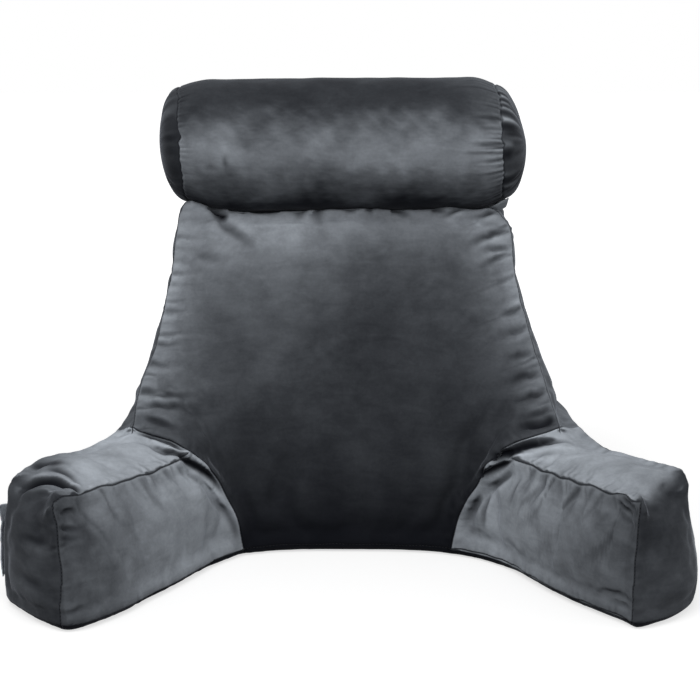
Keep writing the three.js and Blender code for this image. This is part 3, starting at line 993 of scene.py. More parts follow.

# Lighter and darker places of the body's tone: brushed pile together with painted light, sheen and
# shade, such as the lighter top-left of the backrest and its darker middle.
BODY_NAP_AND_PAINTED_LIGHT: tuple[Spot, ...] = (
    Spot((-90, -15, 395), (120, 60, 50), 0.14),
    Spot((-120, -40, 330), (90, 60, 60), 0.08),
    Spot((40, -60, 300), (70, 60, 60), -0.07),
    Spot((0, -60, 250), (60, 60, 60), -0.03),
    Spot((-225, -110, 200), (45, 50, 45), 0.16),
    Spot((372, -305, 160), (28, 50, 30), -0.18),
    Spot((-262, -155, 165), (50, 45, 40), 0.12),
    Spot((262, -205, 160), (40, 45, 30), 0.12),
    Spot((-322, -185, 165), (40, 45, 30), 0.10),
    Spot((-255, -300, 185), (45, 45, 25), 0.12),
    Spot((-100, 0, 405), (50, 60, 24), 0.09),
    Spot((75, -5, 402), (70, 60, 30), -0.10),
    Spot((120, -30, 355), (50, 60, 36), -0.13),
    Spot((30, -40, 350), (40, 60, 36), -0.07),
    Spot((150, -50, 310), (35, 60, 36), -0.08),
    Spot((-90, -90, 225), (55, 60, 44), 0.09),
    Spot((-50, -120, 165), (70, 60, 36), 0.05),
    Spot((-215, -70, 275), (40, 60, 50), 0.08),
    Spot((205, -60, 270), (34, 60, 50), 0.05),
    # the left arm's inner side: dark beside its front seam, light streaks towards the root
    Spot((-318, -378, 60), (26, 30, 120), -0.10),
    Spot((-230, -250, 60), (50, 60, 60), 0.05),
    Spot((-196, -205, 110), (30, 36, 36), 0.09),
    Spot((-262, -300, 18), (40, 46, 22), 0.05),
    # the left arm's end
    Spot((-345, -385, 60), (26, 30, 80), -0.05),
    # the right arm's inner side: a dark patch behind its front corner, lighter below
    Spot((292, -340, 92), (30, 36, 30), -0.13),
    Spot((262, -300, 52), (34, 40, 28), -0.06),
    Spot((230, -250, 40), (50, 60, 30), 0.03),
    Spot((215, -222, 100), (26, 32, 44), 0.05),
    Spot((150, -158, 60), (20, 30, 60), -0.16),
    # the right arm's end
    Spot((345, -385, 110), (34, 34, 44), -0.11),
    Spot((372, -350, 30), (30, 40, 30), 0.05),
)


@dataclass(frozen=True)
class PileTones:
    """How light each panel's tone is, from 0 to 1, brushed pile with painted light, sheen and
    shade; places in millimetres.
    """

    # heights and the tone of the backrest's front there, darkest at the foot as painted shade and
    # lightest at the top as painted light
    front_heights: tuple[float, ...] = (0, 30, 60, 110, 170, 240, 300, 350, 400, 430)
    front: tuple[float, ...] = (0.03, 0.10, 0.21, 0.30, 0.35, 0.40, 0.46, 0.57, 0.78, 0.82)
    # a lighter band beside the side seams, painted sheen where the front turns away
    front_edge: float = 0.42
    front_edge_width: float = 38.0
    # heights and half widths of the backrest's front panel, and its middle
    panel_heights: tuple[float, ...] = (10, 90, 168, 232, 300, 417)
    panel_half: tuple[float, ...] = (238, 250, 264, 250, 230, 205)
    panel_middle: float = -9.0
    # distance forward of the arms, front to root, and the inner sides' tone there, light from
    # painted sheen and lightest at the root
    arm_reach: tuple[float, ...] = (-400, -370, -335, -300, -240, -190)
    arm_inner: tuple[float, ...] = (0.54, 0.60, 0.75, 0.81, 0.88, 0.95)
    # lighter at the inner sides' foot; the tops lightest, painted light where they face up; the
    # left arm's sunken corner darker, painted shade; the ends darker, painted shade where they
    # face forward
    arm_inner_foot: float = 0.07
    arm_top: float = 1.03
    sunken_corner: float = 0.26
    arm_end: float = 0.43
    # how far forward the arms' outer sides reach, and their tone there, lighter forward with
    # painted sheen
    outer_reach: tuple[float, ...] = (-310, -270, -200, -120)
    arm_outer: tuple[float, ...] = (0.84, 0.70, 0.58, 0.48)
    # the flanks, the right lighter with painted sheen, the back, and the underside, darkest as
    # painted shade
    left_flank: float = 0.46
    right_flank: float = 0.76
    back: float = 0.46
    underside: float = 0.08
    # the arms' front inner corners, and the ways that the end and the inner side face from there
    arm_corner: tuple[float, float] = (327.0, -384.0)
    end_faces: tuple[float, float] = (0.78, -0.63)
    inner_faces: tuple[float, float] = (-0.787, -0.617)
    # the edge of the left arm's sunken corner, and the plane between the arms and the backrest
    sunken_at: tuple[float, float] = (-350.0, -235.0)
    sunken_faces: tuple[float, float] = (-0.955, -0.298)
    joint_at: tuple[float, float] = (130.0, -136.0)
    joint_faces: tuple[float, float] = (-0.513, 0.713)
    joint_rise: float = 0.478
    # widths in metres: of the step at a seam, of the cloth beside it that keeps to its own panel
    seam_step: float = 0.0008
    seam_near: float = 0.05
    side_near: float = 0.16

    def of_body(self, points: Array, normals: Array, trails: dict[str, Trail]) -> Array:
        """The tone at each point of the body, brushed pile with painted light, sheen and shade.

        Args:
            points: The body's points, in metres.
            normals: Its vertex normals.
            trails: The seams on it.

        Returns:
            The tones.
        """
        back = self._backrest(points, normals, trails)
        arm = self._arms(points, normals, trails)
        tone = back + (arm - back) * self._arm_share(points, normals, trails)
        # painted shade at the foot and on the faces turned down: they take the underside's dark
        # tone
        hem = 1.0 - smoothstep(0.0075, 0.0095, points[:, 2])
        below = np.maximum(smoothstep(0.3, 0.8, -normals[:, 2]), hem)
        tone = tone + (self.underside - tone) * below
        shift = [
            0.011 * drift(points, 0.034, seed) + 0.005 * drift(points, 0.011, seed + 3)
            for seed in (201, 202, 203)
        ]
        ragged = points + np.column_stack(shift)
        return tone + sum(spot.spread(ragged) for spot in BODY_NAP_AND_PAINTED_LIGHT)

    def _backrest(self, points: Array, normals: Array, trails: dict[str, Trail]) -> Array:
        """The backrest's tones: its front, darker towards its foot as painted shade, with painted
        sheen beside the side seams, its flanks and its rear.
        """
        x, y, z = (points / MM).T
        flank = np.where(x < 0, self.left_flank, self.right_flank)
        flank = self.back + (flank - self.back) * smoothstep(90, 190, z)
        front = np.interp(z, self.front_heights, self.front)
        edge = np.zeros(len(points))
        forward = smoothstep(0.12, 0.45, -normals[:, 1])
        panel = np.interp(z, self.panel_heights, self.panel_half) - np.abs(x - self.panel_middle)
        forward = np.maximum(forward, smoothstep(8.0, 20.0, panel) * (1 - smoothstep(40, 70, y)))
        for side in Side:
            seen = trails[f"{side.tag}_side"].measure(points, normals, self.side_near)
            edge[seen.index] = np.exp(-np.abs(seen.aside) / (self.front_edge_width * MM))
            self._sharpen(forward, seen, -side.value)
        # painted sheen in a band beside each side seam, fading towards the top
        edge = self.front_edge * edge * smoothstep(150, 215, z)
        front = front + edge * (1 - smoothstep(340, 420, z))
        back = flank + (self.back - flank) * smoothstep(0.4, 0.7, normals[:, 1])
        return back + (front - back) * forward

    def _arms(self, points: Array, normals: Array, trails: dict[str, Trail]) -> Array:
        """The arms' tones: their tops, lit with painted light, their ends, darker as painted
        shade, and their outer and inner sides, lighter with painted sheen.
        """
        x, y, z = (points / MM).T
        sign = np.sign(x)
        ahead = past(self.arm_corner, self.end_faces, sign * x, y)
        beyond = past(self.arm_corner, self.inner_faces, sign * x, y)
        inward = smoothstep(-0.12, 0.12, -sign * normals[:, 0])
        inward = inward * (1.0 - smoothstep(0.5, 0.8, normals[:, 2]))
        inner_wall = smoothstep(-25.0, -12.0, beyond) * (1.0 - smoothstep(115.0, 130.0, z))
        inward = np.maximum(inward, inner_wall * (1.0 - smoothstep(-14.0, -6.0, ahead)))
        end = np.maximum(smoothstep(0.15, 0.4, -normals[:, 1]), smoothstep(-12.0, -3.0, ahead))
        up = smoothstep(0.38, 0.74, normals[:, 2]) * (1.0 - smoothstep(-16.0, 4.0, ahead))
        for side in Side:
            near = {
                name: trails[f"{side.tag}_{name}"].measure(points, normals, self.seam_near)
                for name in ("arm_inner", "end_inner", "end_outer", "arm_outer")
            }
            self._sharpen(inward, near["arm_inner"], -side.value)
            self._sharpen(inward, near["end_inner"], -side.value, least=True)
            self._sharpen(end, near["end_outer"], -side.value)
            seen = near["arm_outer"]
            below = smoothstep(-self.seam_step, self.seam_step, -seen.aside * side.value)
            up[seen.index] *= 1.0 - below * (1.0 - smoothstep(0.03, 0.05, np.abs(seen.aside)))
        inner = np.interp(y, self.arm_reach, self.arm_inner)
        inner = inner + self.arm_inner_foot * (1 - smoothstep(10, 70, z))
        outer = np.interp(y, self.outer_reach, self.arm_outer)
        rest = outer + (self.arm_end - outer) * end
        sunken = smoothstep(-22.0, 24.0, past(self.sunken_at, self.sunken_faces, x, y))
        top = self.arm_top * (1.0 - self.sunken_corner * sunken * (x < 0))
        rest = rest + (top - rest) * up
        return rest + (inner - rest) * inward

    def _sharpen(self, share: Array, seen: Reading, sign: float, least: bool = False) -> None:
        """Makes a panel's share step at a seam.

        Args:
            share: The panel's share at all points; it is changed.
            seen: Where the points lie beside the seam.
            sign: The side of the seam that the panel is on.
            least: Whether a point must also lie in the share as it was.
        """
        beside = smoothstep(-self.seam_step, self.seam_step, seen.aside * sign)
        weight = 1.0 - smoothstep(0.018, 0.045, np.abs(seen.aside))
        weight = weight * (1.0 - smoothstep(0.0, 0.004, seen.along - seen.length))
        if least:
            weight = weight * smoothstep(-0.003, 0.001, seen.along)
        old = share[seen.index]
        target = np.minimum(old + 0.6 * beside, beside) if least else beside
        share[seen.index] = old + (target - old) * weight

    def _arm_share(self, points: Array, normals: Array, trails: dict[str, Trail]) -> Array:
        """1 on the arms' side of the seams that join them, 0 on the backrest's."""
        x, y, z = (points / MM).T
        share = np.zeros(len(points))
        for side in Side:
            out = side.value * x
            behind = past(self.joint_at, self.joint_faces, out, y) + self.joint_rise * z
            share = np.where(out > 100, 1.0 - smoothstep(-12.0, 8.0, behind), share)
            seen = trails[f"{side.tag}_junction"].measure(points, normals, self.seam_near)
            self._sharpen(share, seen, side.value)
        return share


# ---- the sewn body


@dataclass
class PillowBody:
    """The backrest and its two arms, one sewn cover over loose filling; sizes in metres."""

    nodes: tuple[str, ...] = ("backrest", "arm_left", "arm_right")
    grow: float = 0.0005
    voxel: float = 0.006
    coarse_step: float = 0.004
    # widths of the cloth that follows the seams before and after the filling, and its longest move
    pull_before: float = 0.012
    pull_after: float = 0.007
    pull_most: float = 0.012
    # where the cloth starts inside the pattern, and how far the filling may push it from there
    start_inset: float = 0.0062
    quick_inset: float = 0.45
    swell_cap: float = 0.0095
    # the cloth beside a seam that is held fully, and the width over which it comes free
    held: float = 0.004
    held_fade: float = 0.009
    hold_levels: int = 20
    frames: int = 20
    filling: tuple[tuple[str, float], ...] = (
        ("uniform_pressure_force", 4.0),
        ("shrink_min", -0.04),
        ("tension_stiffness", 12.0),
        ("compression_stiffness", 12.0),
        ("shear_stiffness", 4.0),
        ("bending_stiffness", 0.4),
        ("mass", 0.3),
        ("quality", 5),
    )
    base_height: float = 0.003
    under_roll: tuple[float, float] = (0.407, 0.415)
    fine_near_seam: tuple[float, ...] = (0.0052, 0.0024)
    fine_near_fold: float = 0.0085
    # half width of a seam's groove, and the place and half width of the shoulders beside it
    groove: float = 0.0009
    shoulder: float = 0.0036
    shoulder_width: float = 0.0022
    tones: PileTones = field(default_factory=PileTones)
    pattern: Pattern = field(default_factory=Pattern)
    trails: dict[str, Trail] = field(default_factory=dict)

    def build(self, cad: dict[str, bpy.types.Object]) -> bpy.types.Object:
        """Makes the body.

        Args:
            cad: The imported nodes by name.

        Returns:
            The finished piece, dressed with its masks.
        """
        seams = self.pattern.seams()
        surface = Surface(self._joined(cad))
        surface.smooth(6)
        self._pull_to_seams(surface, seams, self.pull_before)
        surface = self._stuffed(surface, seams)
        surface = self._subdivided(surface)
        self._pull_to_seams(surface, seams, self.pull_after)
        self._shove(surface)
        self._undulate(surface)
        self.trails = {name: seam.laid(surface) for name, seam in seams.items()}
        creases = [fold.laid(surface) for fold in FOLDS]
        surface = self._refined(surface, creases, self.fine_near_fold)
        self._crease(surface)
        for reach in self.fine_near_seam:
            surface = self._refined(surface, self.trails.values(), reach)
        seam_mask = self._stitch_in(surface, seams)
        surface.points[:, 2] = np.maximum(surface.points[:, 2], 0.0)
        surface.mark(Mask.SEAM, seam_mask)
        surface.mark(Mask.NAP, self.tones.of_body(surface.points, surface.normals(), self.trails))
        surface.store()
        return finished_object("pillow_body", surface.mesh)

    def _joined(self, cad: dict[str, bpy.types.Object]) -> bpy.types.Mesh:
        """The CAD's cushions as one evenly meshed closed skin."""
        union = bmesh.new()
        for name in self.nodes:
            union.from_mesh(cad[name].data)
        bmesh.ops.remove_doubles(union, verts=union.verts, dist=1e-5)
        union.normal_update()
        for vertex in union.verts:
            vertex.co += vertex.normal * self.grow
        mesh = bpy.data.meshes.new("joined")
        union.to_mesh(mesh)
        union.free()
        piece = finished_object("joined", mesh)
        voxels = piece.modifiers.new("voxels", "REMESH")
        voxels.mode = "VOXEL"
        voxels.voxel_size = self.voxel
        return baked(piece)

    def _pull_to_seams(self, surface: Surface, seams: dict[str, Seam], width: float) -> None:
        """Draws the surface to the seams' own lines, so that the panels meet in an edge.

        Args:
            surface: The surface.
            seams: The seams by name.
            width: How far from a seam the surface follows it.
        """
        normals = surface.normals()
        move = np.zeros_like(surface.points)
        weight = np.zeros(len(surface.points))
        for seam in seams.values():
            if not seam.pull:
                continue
            trail = seam.trail(self.coarse_step)
            places, facing = surface.nearest(trail.points)
            shift = capped(trail.points - places, self.pull_most)
            seen = Trail(places, facing).measure(surface.points, normals, 2.5 * width)
            share = bell(seen.aside, width)
            better = share > weight[seen.index]
            index = seen.index[better]
            move[index] = shift[seen.sample[better]] * share[better, None]
            weight[index] = share[better]
        surface.points += move

    def _hold(self, surface: Surface, normals: Array, seams: dict[str, Seam]) -> Array:
        """How firmly each point keeps its place while the cover is filled, from 0 to 1."""
        hold = np.zeros(len(surface.points))
        for seam in seams.values():
            trail = seam.trail(self.coarse_step).on(surface)
            seen = trail.measure(surface.points, normals, 0.05)
            near = bell(np.maximum(np.abs(seen.aside) - self.held, 0.0), self.held_fade)
            hold[seen.index] = np.maximum(hold[seen.index], near)
        height = surface.points[:, 2]
        resting = 1.0 - smoothstep(self.base_height, 3.0 * self.base_height, height)
        return np.maximum(hold, np.maximum(resting, smoothstep(*self.under_roll, height)))

    def _stuffed(self, surface: Surface, seams: dict[str, Seam]) -> Surface:
        """Fills the cover: a cloth simulation blows its panels up between their seams.

        Args:
            surface: The cover before filling.
            seams: The seams by name, which hold their places.

        Returns:
            The filled cover.
        """
        normals = surface.normals()
        hold = self._hold(surface, normals, seams)
        inset = normals * (self.start_inset * (1.0 - hold))[:, None]
        surface.points -= inset
        surface.store()
        start = surface.points.copy()
        piece = finished_object("cover", surface.mesh)
        group = piece.vertex_groups.new(name="sewn")
        step = 1.0 / self.hold_levels
        for level in np.linspace(step, 1.0, self.hold_levels):
            members = np.nonzero((hold > level - step) & (hold <= level + TINY))[0]
            group.add(members.tolist(), float(level), "REPLACE")
        cloth = piece.modifiers.new("filling", "CLOTH")
        cloth.settings.vertex_group_mass = group.name
        cloth.settings.use_pressure = True
        for label, value in self.filling:
            setattr(cloth.settings, label, value)
        cloth.settings.effector_weights.gravity = 0.0
        cloth.collision_settings.use_collision = False
        cloth.point_cache.frame_start = 1
        cloth.point_cache.frame_end = self.frames
        scene = bpy.context.scene
        for number in range(1, self.frames + 1):
            scene.frame_set(number)
        result = Surface(baked(piece))
        scene.frame_set(1)
        travel = result.points - start
        result.points = start + capped(travel, self.swell_cap)
        result.smooth(1, 0.4)
        typical = float(np.median(np.linalg.norm(travel, axis=1)))
        log.info("body stuffed: typical travel %.1f mm", typical / MM)
        return result

    def _subdivided(self, surface: Surface) -> Surface:
        """The surface with each face split in four."""
        surface.store()
        piece = finished_object("split", surface.mesh)
        finer = piece.modifiers.new("finer", "SUBSURF")
        finer.levels = finer.render_levels = 1
        return Surface(baked(piece))

    def _shove(self, surface: Surface) -> None:
        """Moves the filling about by the listed pushes, the flat underside only sideways."""
        free = smoothstep(-0.002, 0.012, surface.points[:, 2])
        total = sum(spot.spread(surface.points) * MM for spot in PUSHES)
        total[:, 2] *= free
        surface.points += total

    def _undulate(self, surface: Surface) -> None:
        """Adds the slow unevenness of loose filling, none on the flat underside."""
        normals = surface.normals()
        free = smoothstep(0.01, 0.05, surface.points[:, 2])
        size = 1.3 * drift(surface.points, 0.11, 31) + 0.5 * drift(surface.points, 0.042, 32)
        surface.points += normals * (size * MM * free)[:, None]

    def _crease(self, surface: Surface) -> None:
        """Presses the folds and gathers into the surface and marks painted shade in their troughs
        and painted highlight on their crests.
        """
        normals = surface.normals()
        relief = Relief(len(surface.points))
        for fold in FOLDS:
            fold.press(surface, normals, relief)
        for gathers in PUCKERS:
            gathers.gather(self.trails[gathers.seam], surface, normals, relief)
        surface.points += normals * relief.move[:, None]
        surface.smooth(2, 0.35)
        surface.mark(Mask.FOLD, relief.trough)
        surface.mark(Mask.CREST, relief.crest)

    def _refined(self, surface: Surface, lines: Iterable[Trail], reach: float) -> Surface:
        """The surface with its faces split again beside some lines.

        Args:
            surface: The surface.
            lines: The lines.
            reach: How far from a line they are split.

        Returns:
            The finer surface.
        """
        normals = surface.normals()
        near = np.zeros(len(surface.points), bool)
        for trail in lines:
            seen = trail.measure(surface.points, normals, reach + 0.001)
            near[seen.index[np.abs(seen.aside) < reach]] = True
        finer = bmesh.new()
        finer.from_mesh(surface.mesh)
        edges = [e for e in finer.edges if near[e.verts[0].index] and near[e.verts[1].index]]
        bmesh.ops.subdivide_edges(finer, edges=edges, cuts=1, use_grid_fill=True, smooth=0.5)
        bmesh.ops.triangulate(finer, faces=[f for f in finer.faces if len(f.verts) > 4])
        finer.to_mesh(surface.mesh)
        finer.free()
        return Surface(surface.mesh)

    def _stitch_in(self, surface: Surface, seams: dict[str, Seam]) -> Array:
        """Draws the seams in as narrow grooves with swelling shoulders.

        Args:
            surface: The surface.
            seams: The seams by name.

        Returns:
            The mask of the seam lines.
        """
        normals = surface.normals()
        move, mask = np.zeros((2, len(surface.points)))
        for name, seam in seams.items():
            self.trails[name] = self.trails[name].on(surface)
            seen = self.trails[name].measure(surface.points, normals, 0.014)
            away = np.abs(seen.aside)
            groove = bell(away, self.groove)
            shoulder = bell(away - self.shoulder, self.shoulder_width)
            depth = (seam.shoulder * shoulder - seam.depth * groove) * MM
            stronger = np.abs(depth) > np.abs(move[seen.index])
            move[seen.index[stronger]] = depth[stronger]
            line = bell(away, 0.8 * self.groove) * min(1.0, seam.depth)
            mask[seen.index] = np.maximum(mask[seen.index], line)
        surface.points += normals * move[:, None]
        for name, trail in self.trails.items():
            trail.points = trail.points - trail.normals * (0.7 * seams[name].depth * MM)
        return mask


# ---- the neck roll


@dataclass(frozen=True)
class Dent:
    """A soft dent or swelling of the roll.

    Attributes:
        x: Place along the roll from its middle, in millimetres.
        turn: Degrees round the roll; 180 faces the sitter, 90 is on top.
        length: Half length along the roll, in millimetres.
        spread: Half width round the roll, in degrees.
        height: How far it stands out, or in if below 0, in millimetres.
    """

    x: float
    turn: float
    length: float
    spread: float
    height: float


@dataclass
class NeckRoll:
    """The filled roll: a barrel gathered into two domed end discs.

    Sizes are in millimetres; pairs are for the left end and the right end.
    """

    centre_x: float = -9.0
    centre_y: float = 45.0
    centre_z: float = 498.0
    half: tuple[float, float] = (206.0, 201.5)
    radius: float = 86.0
    end_radius: tuple[float, float] = (75.5, 74.5)
    shoulder: tuple[float, float] = (48.0, 42.0)
    dome: tuple[float, float] = (31.5, 36.0)
    fullness: tuple[float, float] = (1.1, 1.3)
    droop: tuple[float, float] = (0.08, 0.22)
    droop_turn: float = 13.0
    jog: float = 4.0
    jog_turn: float = 165.0
    skew: float = 0.065
    tilt: float = 0.008
    around: int = 320
    gather_height: tuple[float, float] = (1.0, 1.8)
    gather_reach: tuple[float, float] = (13.0, 27.0)
    gather_count: tuple[int, int] = (76, 62)
    gather_middle: tuple[float, float] = (135.0, 168.0)
    gather_spread: tuple[float, float] = (40.0, 52.0)
    pleats: tuple[int, int] = (19, 26)
    disc_rows: int = 34
    disc_crowding: float = 1.4
    rim: float = 72.0
    dents: tuple[Dent, ...] = (
        Dent(-199, 172, 5, 7, -2.5),
        Dent(-168, 194, 6, 4, -2.2),
        Dent(-150, 186, 30, 12, 1.2),
        Dent(60, 168, 60, 12, -1.0),
        Dent(120, 150, 30, 10, 1.0),
        Dent(-60, 150, 50, 16, 0.8),
        Dent(-183, 100, 22, 24, 0.6),
    )
    # creases of the barrel, their troughs painted darker as shade and their ridges lighter as
    # highlight: start, end, turn, half width in degrees, depth
    creases: tuple[tuple[float, float, float, float, float], ...] = (
        (168, 203, 174.5, 1.9, 1.2),
        (158, 190, 181.5, 1.7, 0.7),
        (172, 203, 150.0, 1.5, 0.9),
        (178, 203, 160.0, 1.4, 0.8),
        (180, 203, 190.0, 1.7, 0.8),
        (-151, -147, 187.0, 5.0, 1.0),
    )
    # pleats of the right end disc, their crests painted lighter as highlight and the trough beside
    # them darker as shade: turn, half width in degrees, length as a share of the disc, height
    end_pleats: tuple[tuple[float, float, float, float], ...] = (
        (110, 2.0, 0.34, 1.1),
        (120, 2.2, 0.44, 1.5),
        (128, 2.0, 0.38, 1.4),
        (135, 2.6, 0.66, 1.9),
        (149, 3.2, 0.62, 2.2),
        (174, 4.2, 0.34, 1.2),
        (206, 3.5, 0.5, 0.9),
        (222, 3.0, 0.5, 0.9),
    )
    # turn in degrees and the tone there: dark above as brushed pile, a light band across the
    # front, brushed pile and painted light together, and darkest below, painted shade
    turns: tuple[float, ...] = (
        0, 60, 97, 115, 132, 142, 150, 158, 165, 176, 185,
        192, 200, 208, 215, 222, 230, 240, 270, 300, 360,
    )  # fmt: skip
    tones: tuple[float, ...] = (
        0.38, 0.42, 0.42, 0.36, 0.35, 0.41, 0.51, 0.60, 0.69, 0.79, 0.80,
        0.75, 0.65, 0.57, 0.50, 0.42, 0.29, 0.11, 0.05, 0.26, 0.38,
    )  # fmt: skip

    def _stations(self) -> list[Place]:
        """Rows of the mesh as x, base radius and share of the way into an end disc."""
        rows: list[Place] = []
        for end, sign in enumerate((-1.0, 1.0)):
            seam, dome, half = self.end_radius[end], self.dome[end], self.half[end]
            disc = []
            for share in np.linspace(0.0, 1.0, self.disc_rows)[1:-1] ** self.disc_crowding:
                turn = (1.0 - share) * math.pi / 2
                radius = seam * math.sin(turn) ** self.fullness[end]
                disc.append((sign * (half + dome * math.cos(turn)), radius, share))
            side = [(sign * half * t, 0.0, 0.0) for t in self._spacing()]
            rows += [*reversed(disc), *reversed(side)] if sign < 0 else [*side[1:], *disc]
        return [(x, r if share else self.barrel(x), share) for x, r, share in rows]

    def _spacing(self) -> Array:
        """Shares of the half length, closer together near the end seams."""
        coarse = np.linspace(0.0, 0.84, 72)
        fine = 0.84 + 0.16 * np.linspace(0.0, 1.0, 38)[1:] ** 0.75
        return np.concatenate([coarse, fine])

    def barrel(self, x: float) -> float:
        """Radius of the barrel at a distance from its middle."""
        end = 0 if x < 0 else 1
        t = np.clip((self.half[end] - abs(x)) / self.shoulder[end], 0.0, 1.0)
        drop = self.radius - self.end_radius[end]
        return float(self.radius - drop * (1.0 - t) ** 2.3)

    def build(self) -> bpy.types.Object:
        """Makes the roll.

        Returns:
            The finished piece, dressed with its masks.
        """
        stations = self._stations()
        turns = np.linspace(0.0, 2.0 * math.pi, self.around, endpoint=False)
        x, radius, disc = (np.array(column)[:, None] for column in zip(*stations, strict=True))
        turn = np.broadcast_to(turns[None], (len(stations), self.around))
        out, fold, crest = self._swell(x, turn, disc)
        reach = radius + out * np.where(disc > 0, np.sqrt(np.maximum(1.0 - disc, 0.0)), 1.0)
        half = np.where(x < 0, *self.half)
        seam = np.where(disc > 0, disc * self.rim, half - np.abs(x))
        reach = reach - bell(seam, 1.2) + 0.3 * bell(seam - 3.5, 2.0)
        sag = 0.05 * np.clip(-np.sin(turn), 0.0, 1.0) * bell(half - np.abs(x), 40.0)
        reach = reach * (1.0 - sag)
        lean = np.where(x < 0, *self.droop) * np.sin(turn + math.radians(self.droop_turn))
        inner = np.maximum(np.cos(disc * math.pi / 2), 1e-3)
        reach = reach * np.where(disc > 0, inner**lean, 1.0)
        puff, disc_fold, disc_crest = self._pleated(x, turn, disc)
        fold, crest = np.maximum(fold, disc_fold), np.maximum(crest, disc_crest)
        wander = 1.1 * self._ring_drift(turn, 0.35, 66) + 0.5 * self._ring_drift(turn, 0.12, 67)
        across, up = reach * np.cos(turn), reach * np.sin(turn)
        notch = self.jog * bell(np.degrees(turn) - self.jog_turn, 4.5) * bell(seam, 9.0) * (x < 0)
        along = x + np.sign(x) * puff + wander * bell(seam, 14.0) + notch - self.skew * up
        above = self.centre_z + up + self.tilt * x
        rows = np.stack([self.centre_x + along, self.centre_y + across, above], axis=2)
        surface = Surface(grid_mesh(rows * MM, closed=True))
        spare = np.zeros(len(surface.points) - turn.size)
        # a thin painted highlight on the barrel's rim beside each end seam
        rim = (disc == 0) * bell(seam - 1.2, 1.3)
        for mask, values in (
            (Mask.SEAM, np.broadcast_to(0.5 * (disc > 0) * bell(seam - 0.4, 1.0), turn.shape)),
            (Mask.FOLD, fold),
            (Mask.CREST, np.maximum(crest, 0.6 * rim)),
            (Mask.NAP, self._tone(x, turn, disc)),
        ):
            surface.mark(mask, np.concatenate([values.ravel(), spare + values[-1].mean()]))
        return finished_object("neck_roll_cover", surface.mesh)

    def _places(self, x: Array, turn: Array) -> Array:
        """Places on the plain roll, in millimetres, for fields that must not repeat."""
        along = np.broadcast_to(x, turn.shape)
        grid = [along, self.radius * np.cos(turn), self.radius * np.sin(turn)]
        return np.stack(grid, axis=2).reshape(-1, 3)

    @staticmethod
    def _ring_drift(turn: Array, size: float, seed: int) -> Array:
        """A random field that changes only round the roll, on a circle of radius 1."""
        ring = np.stack([np.cos(turn), np.sin(turn)], axis=2).reshape(-1, 2)
        return drift(ring, size, seed).reshape(turn.shape)

    @staticmethod
    def _turned(turn: Array, middle: float) -> Array:
        """The angle in radians from a middle given in degrees, the short way round."""
        return np.angle(np.exp(1j * (turn - math.radians(middle))))

    def _swell(self, x: Array, turn: Array, disc: Array) -> tuple[Array, Array, Array]:
        """Unevenness of the roll.

        Args:
            x: Distance of each row from the roll's middle.
            turn: Angle of each point.
            disc: Share of the way into an end disc of each row.

        Returns:
            The change of radius in millimetres, and the masks of painted shade in troughs and
            painted highlight on crests.
        """
        place = self._places(x, turn)
        out = (0.9 * drift(place, 95.0, 41) + 0.35 * drift(place, 38.0, 42)).reshape(turn.shape)
        fold, crest = np.zeros((2, *turn.shape))
        for end, sign in enumerate((-1.0, 1.0)):
            height = self.gather_height[end]
            away = np.where(disc > 0, 1e3, self.half[end] - sign * x)
            away = np.where(sign * x > 0, away, 1e3)
            uneven = self._ring_drift(turn, 0.5, 60 + end)
            own = np.clip(0.65 + 0.45 * self._ring_drift(turn, 0.16, 70 + end), 0.1, 1.3)
            phase = self.gather_count[end] * turn + 2.4 * uneven
            wave = np.sin(phase)
            fade = np.exp(-((away / (self.gather_reach[end] * own)) ** 1.6))
            facing = self._turned(turn, self.gather_middle[end])
            front = 0.2 + 0.8 * bell(facing, math.radians(self.gather_spread[end]))
            size = fade * np.minimum(own, 1.1) * front
            out = out + height * size * (wave - 0.3 * np.cos(phase) ** 2)
            strength = min(1.0, height / 1.4) * size
            fold = np.maximum(fold, 0.7 * np.clip(-wave, 0, 1) * strength)
            crest = np.maximum(crest, 0.65 * np.clip(wave, 0, 1) * strength)
        for start, end, at, width, depth in self.creases:
            swing = (np.degrees(turn) - at) / width
            trough, ridge = bell(swing, 1.0), bell(swing + 2.2, 1.0)
            lead = 0.35 * (end - start)
            window = smoothstep(start - lead, start + lead, x)
            window = window * (1.0 - smoothstep(end - 4.0, end + 4.0, x))
            out = out - depth * trough * window + 0.5 * depth * ridge * window
            fold = np.maximum(fold, 0.4 * depth * trough * window)
            crest = np.maximum(crest, 0.3 * depth * ridge * window)
        for dent in self.dents:
            swing = np.degrees(self._turned(turn, dent.turn))
            out = out + dent.height * bell(x - dent.x, dent.length) * bell(swing, dent.spread)
        return out, fold, crest

    def _pleated(self, x: Array, turn: Array, disc: Array) -> tuple[Array, Array, Array]:
        """Pleats of the end discs, strongest near their rims.

        Args:
            x: Distance of each row from the roll's middle.
            turn: Angle of each point.
            disc: Share of the way into an end disc of each row.

        Returns:
            The pleats' height in millimetres, and the masks of painted shade in their troughs and
            painted highlight on their crests.
        """
        count = np.where(x < 0, *self.pleats)
        own = np.clip(0.6 + 0.5 * self._ring_drift(turn, 0.3, 81), 0.1, 1.2)
        wave = np.sin(count * turn + 2.2 * self._ring_drift(turn, 0.7, 80))
        rim = np.where(disc > 0, np.sin(math.pi * np.clip(disc * 1.6, 0.0, 1.0)) * own, 0.0)
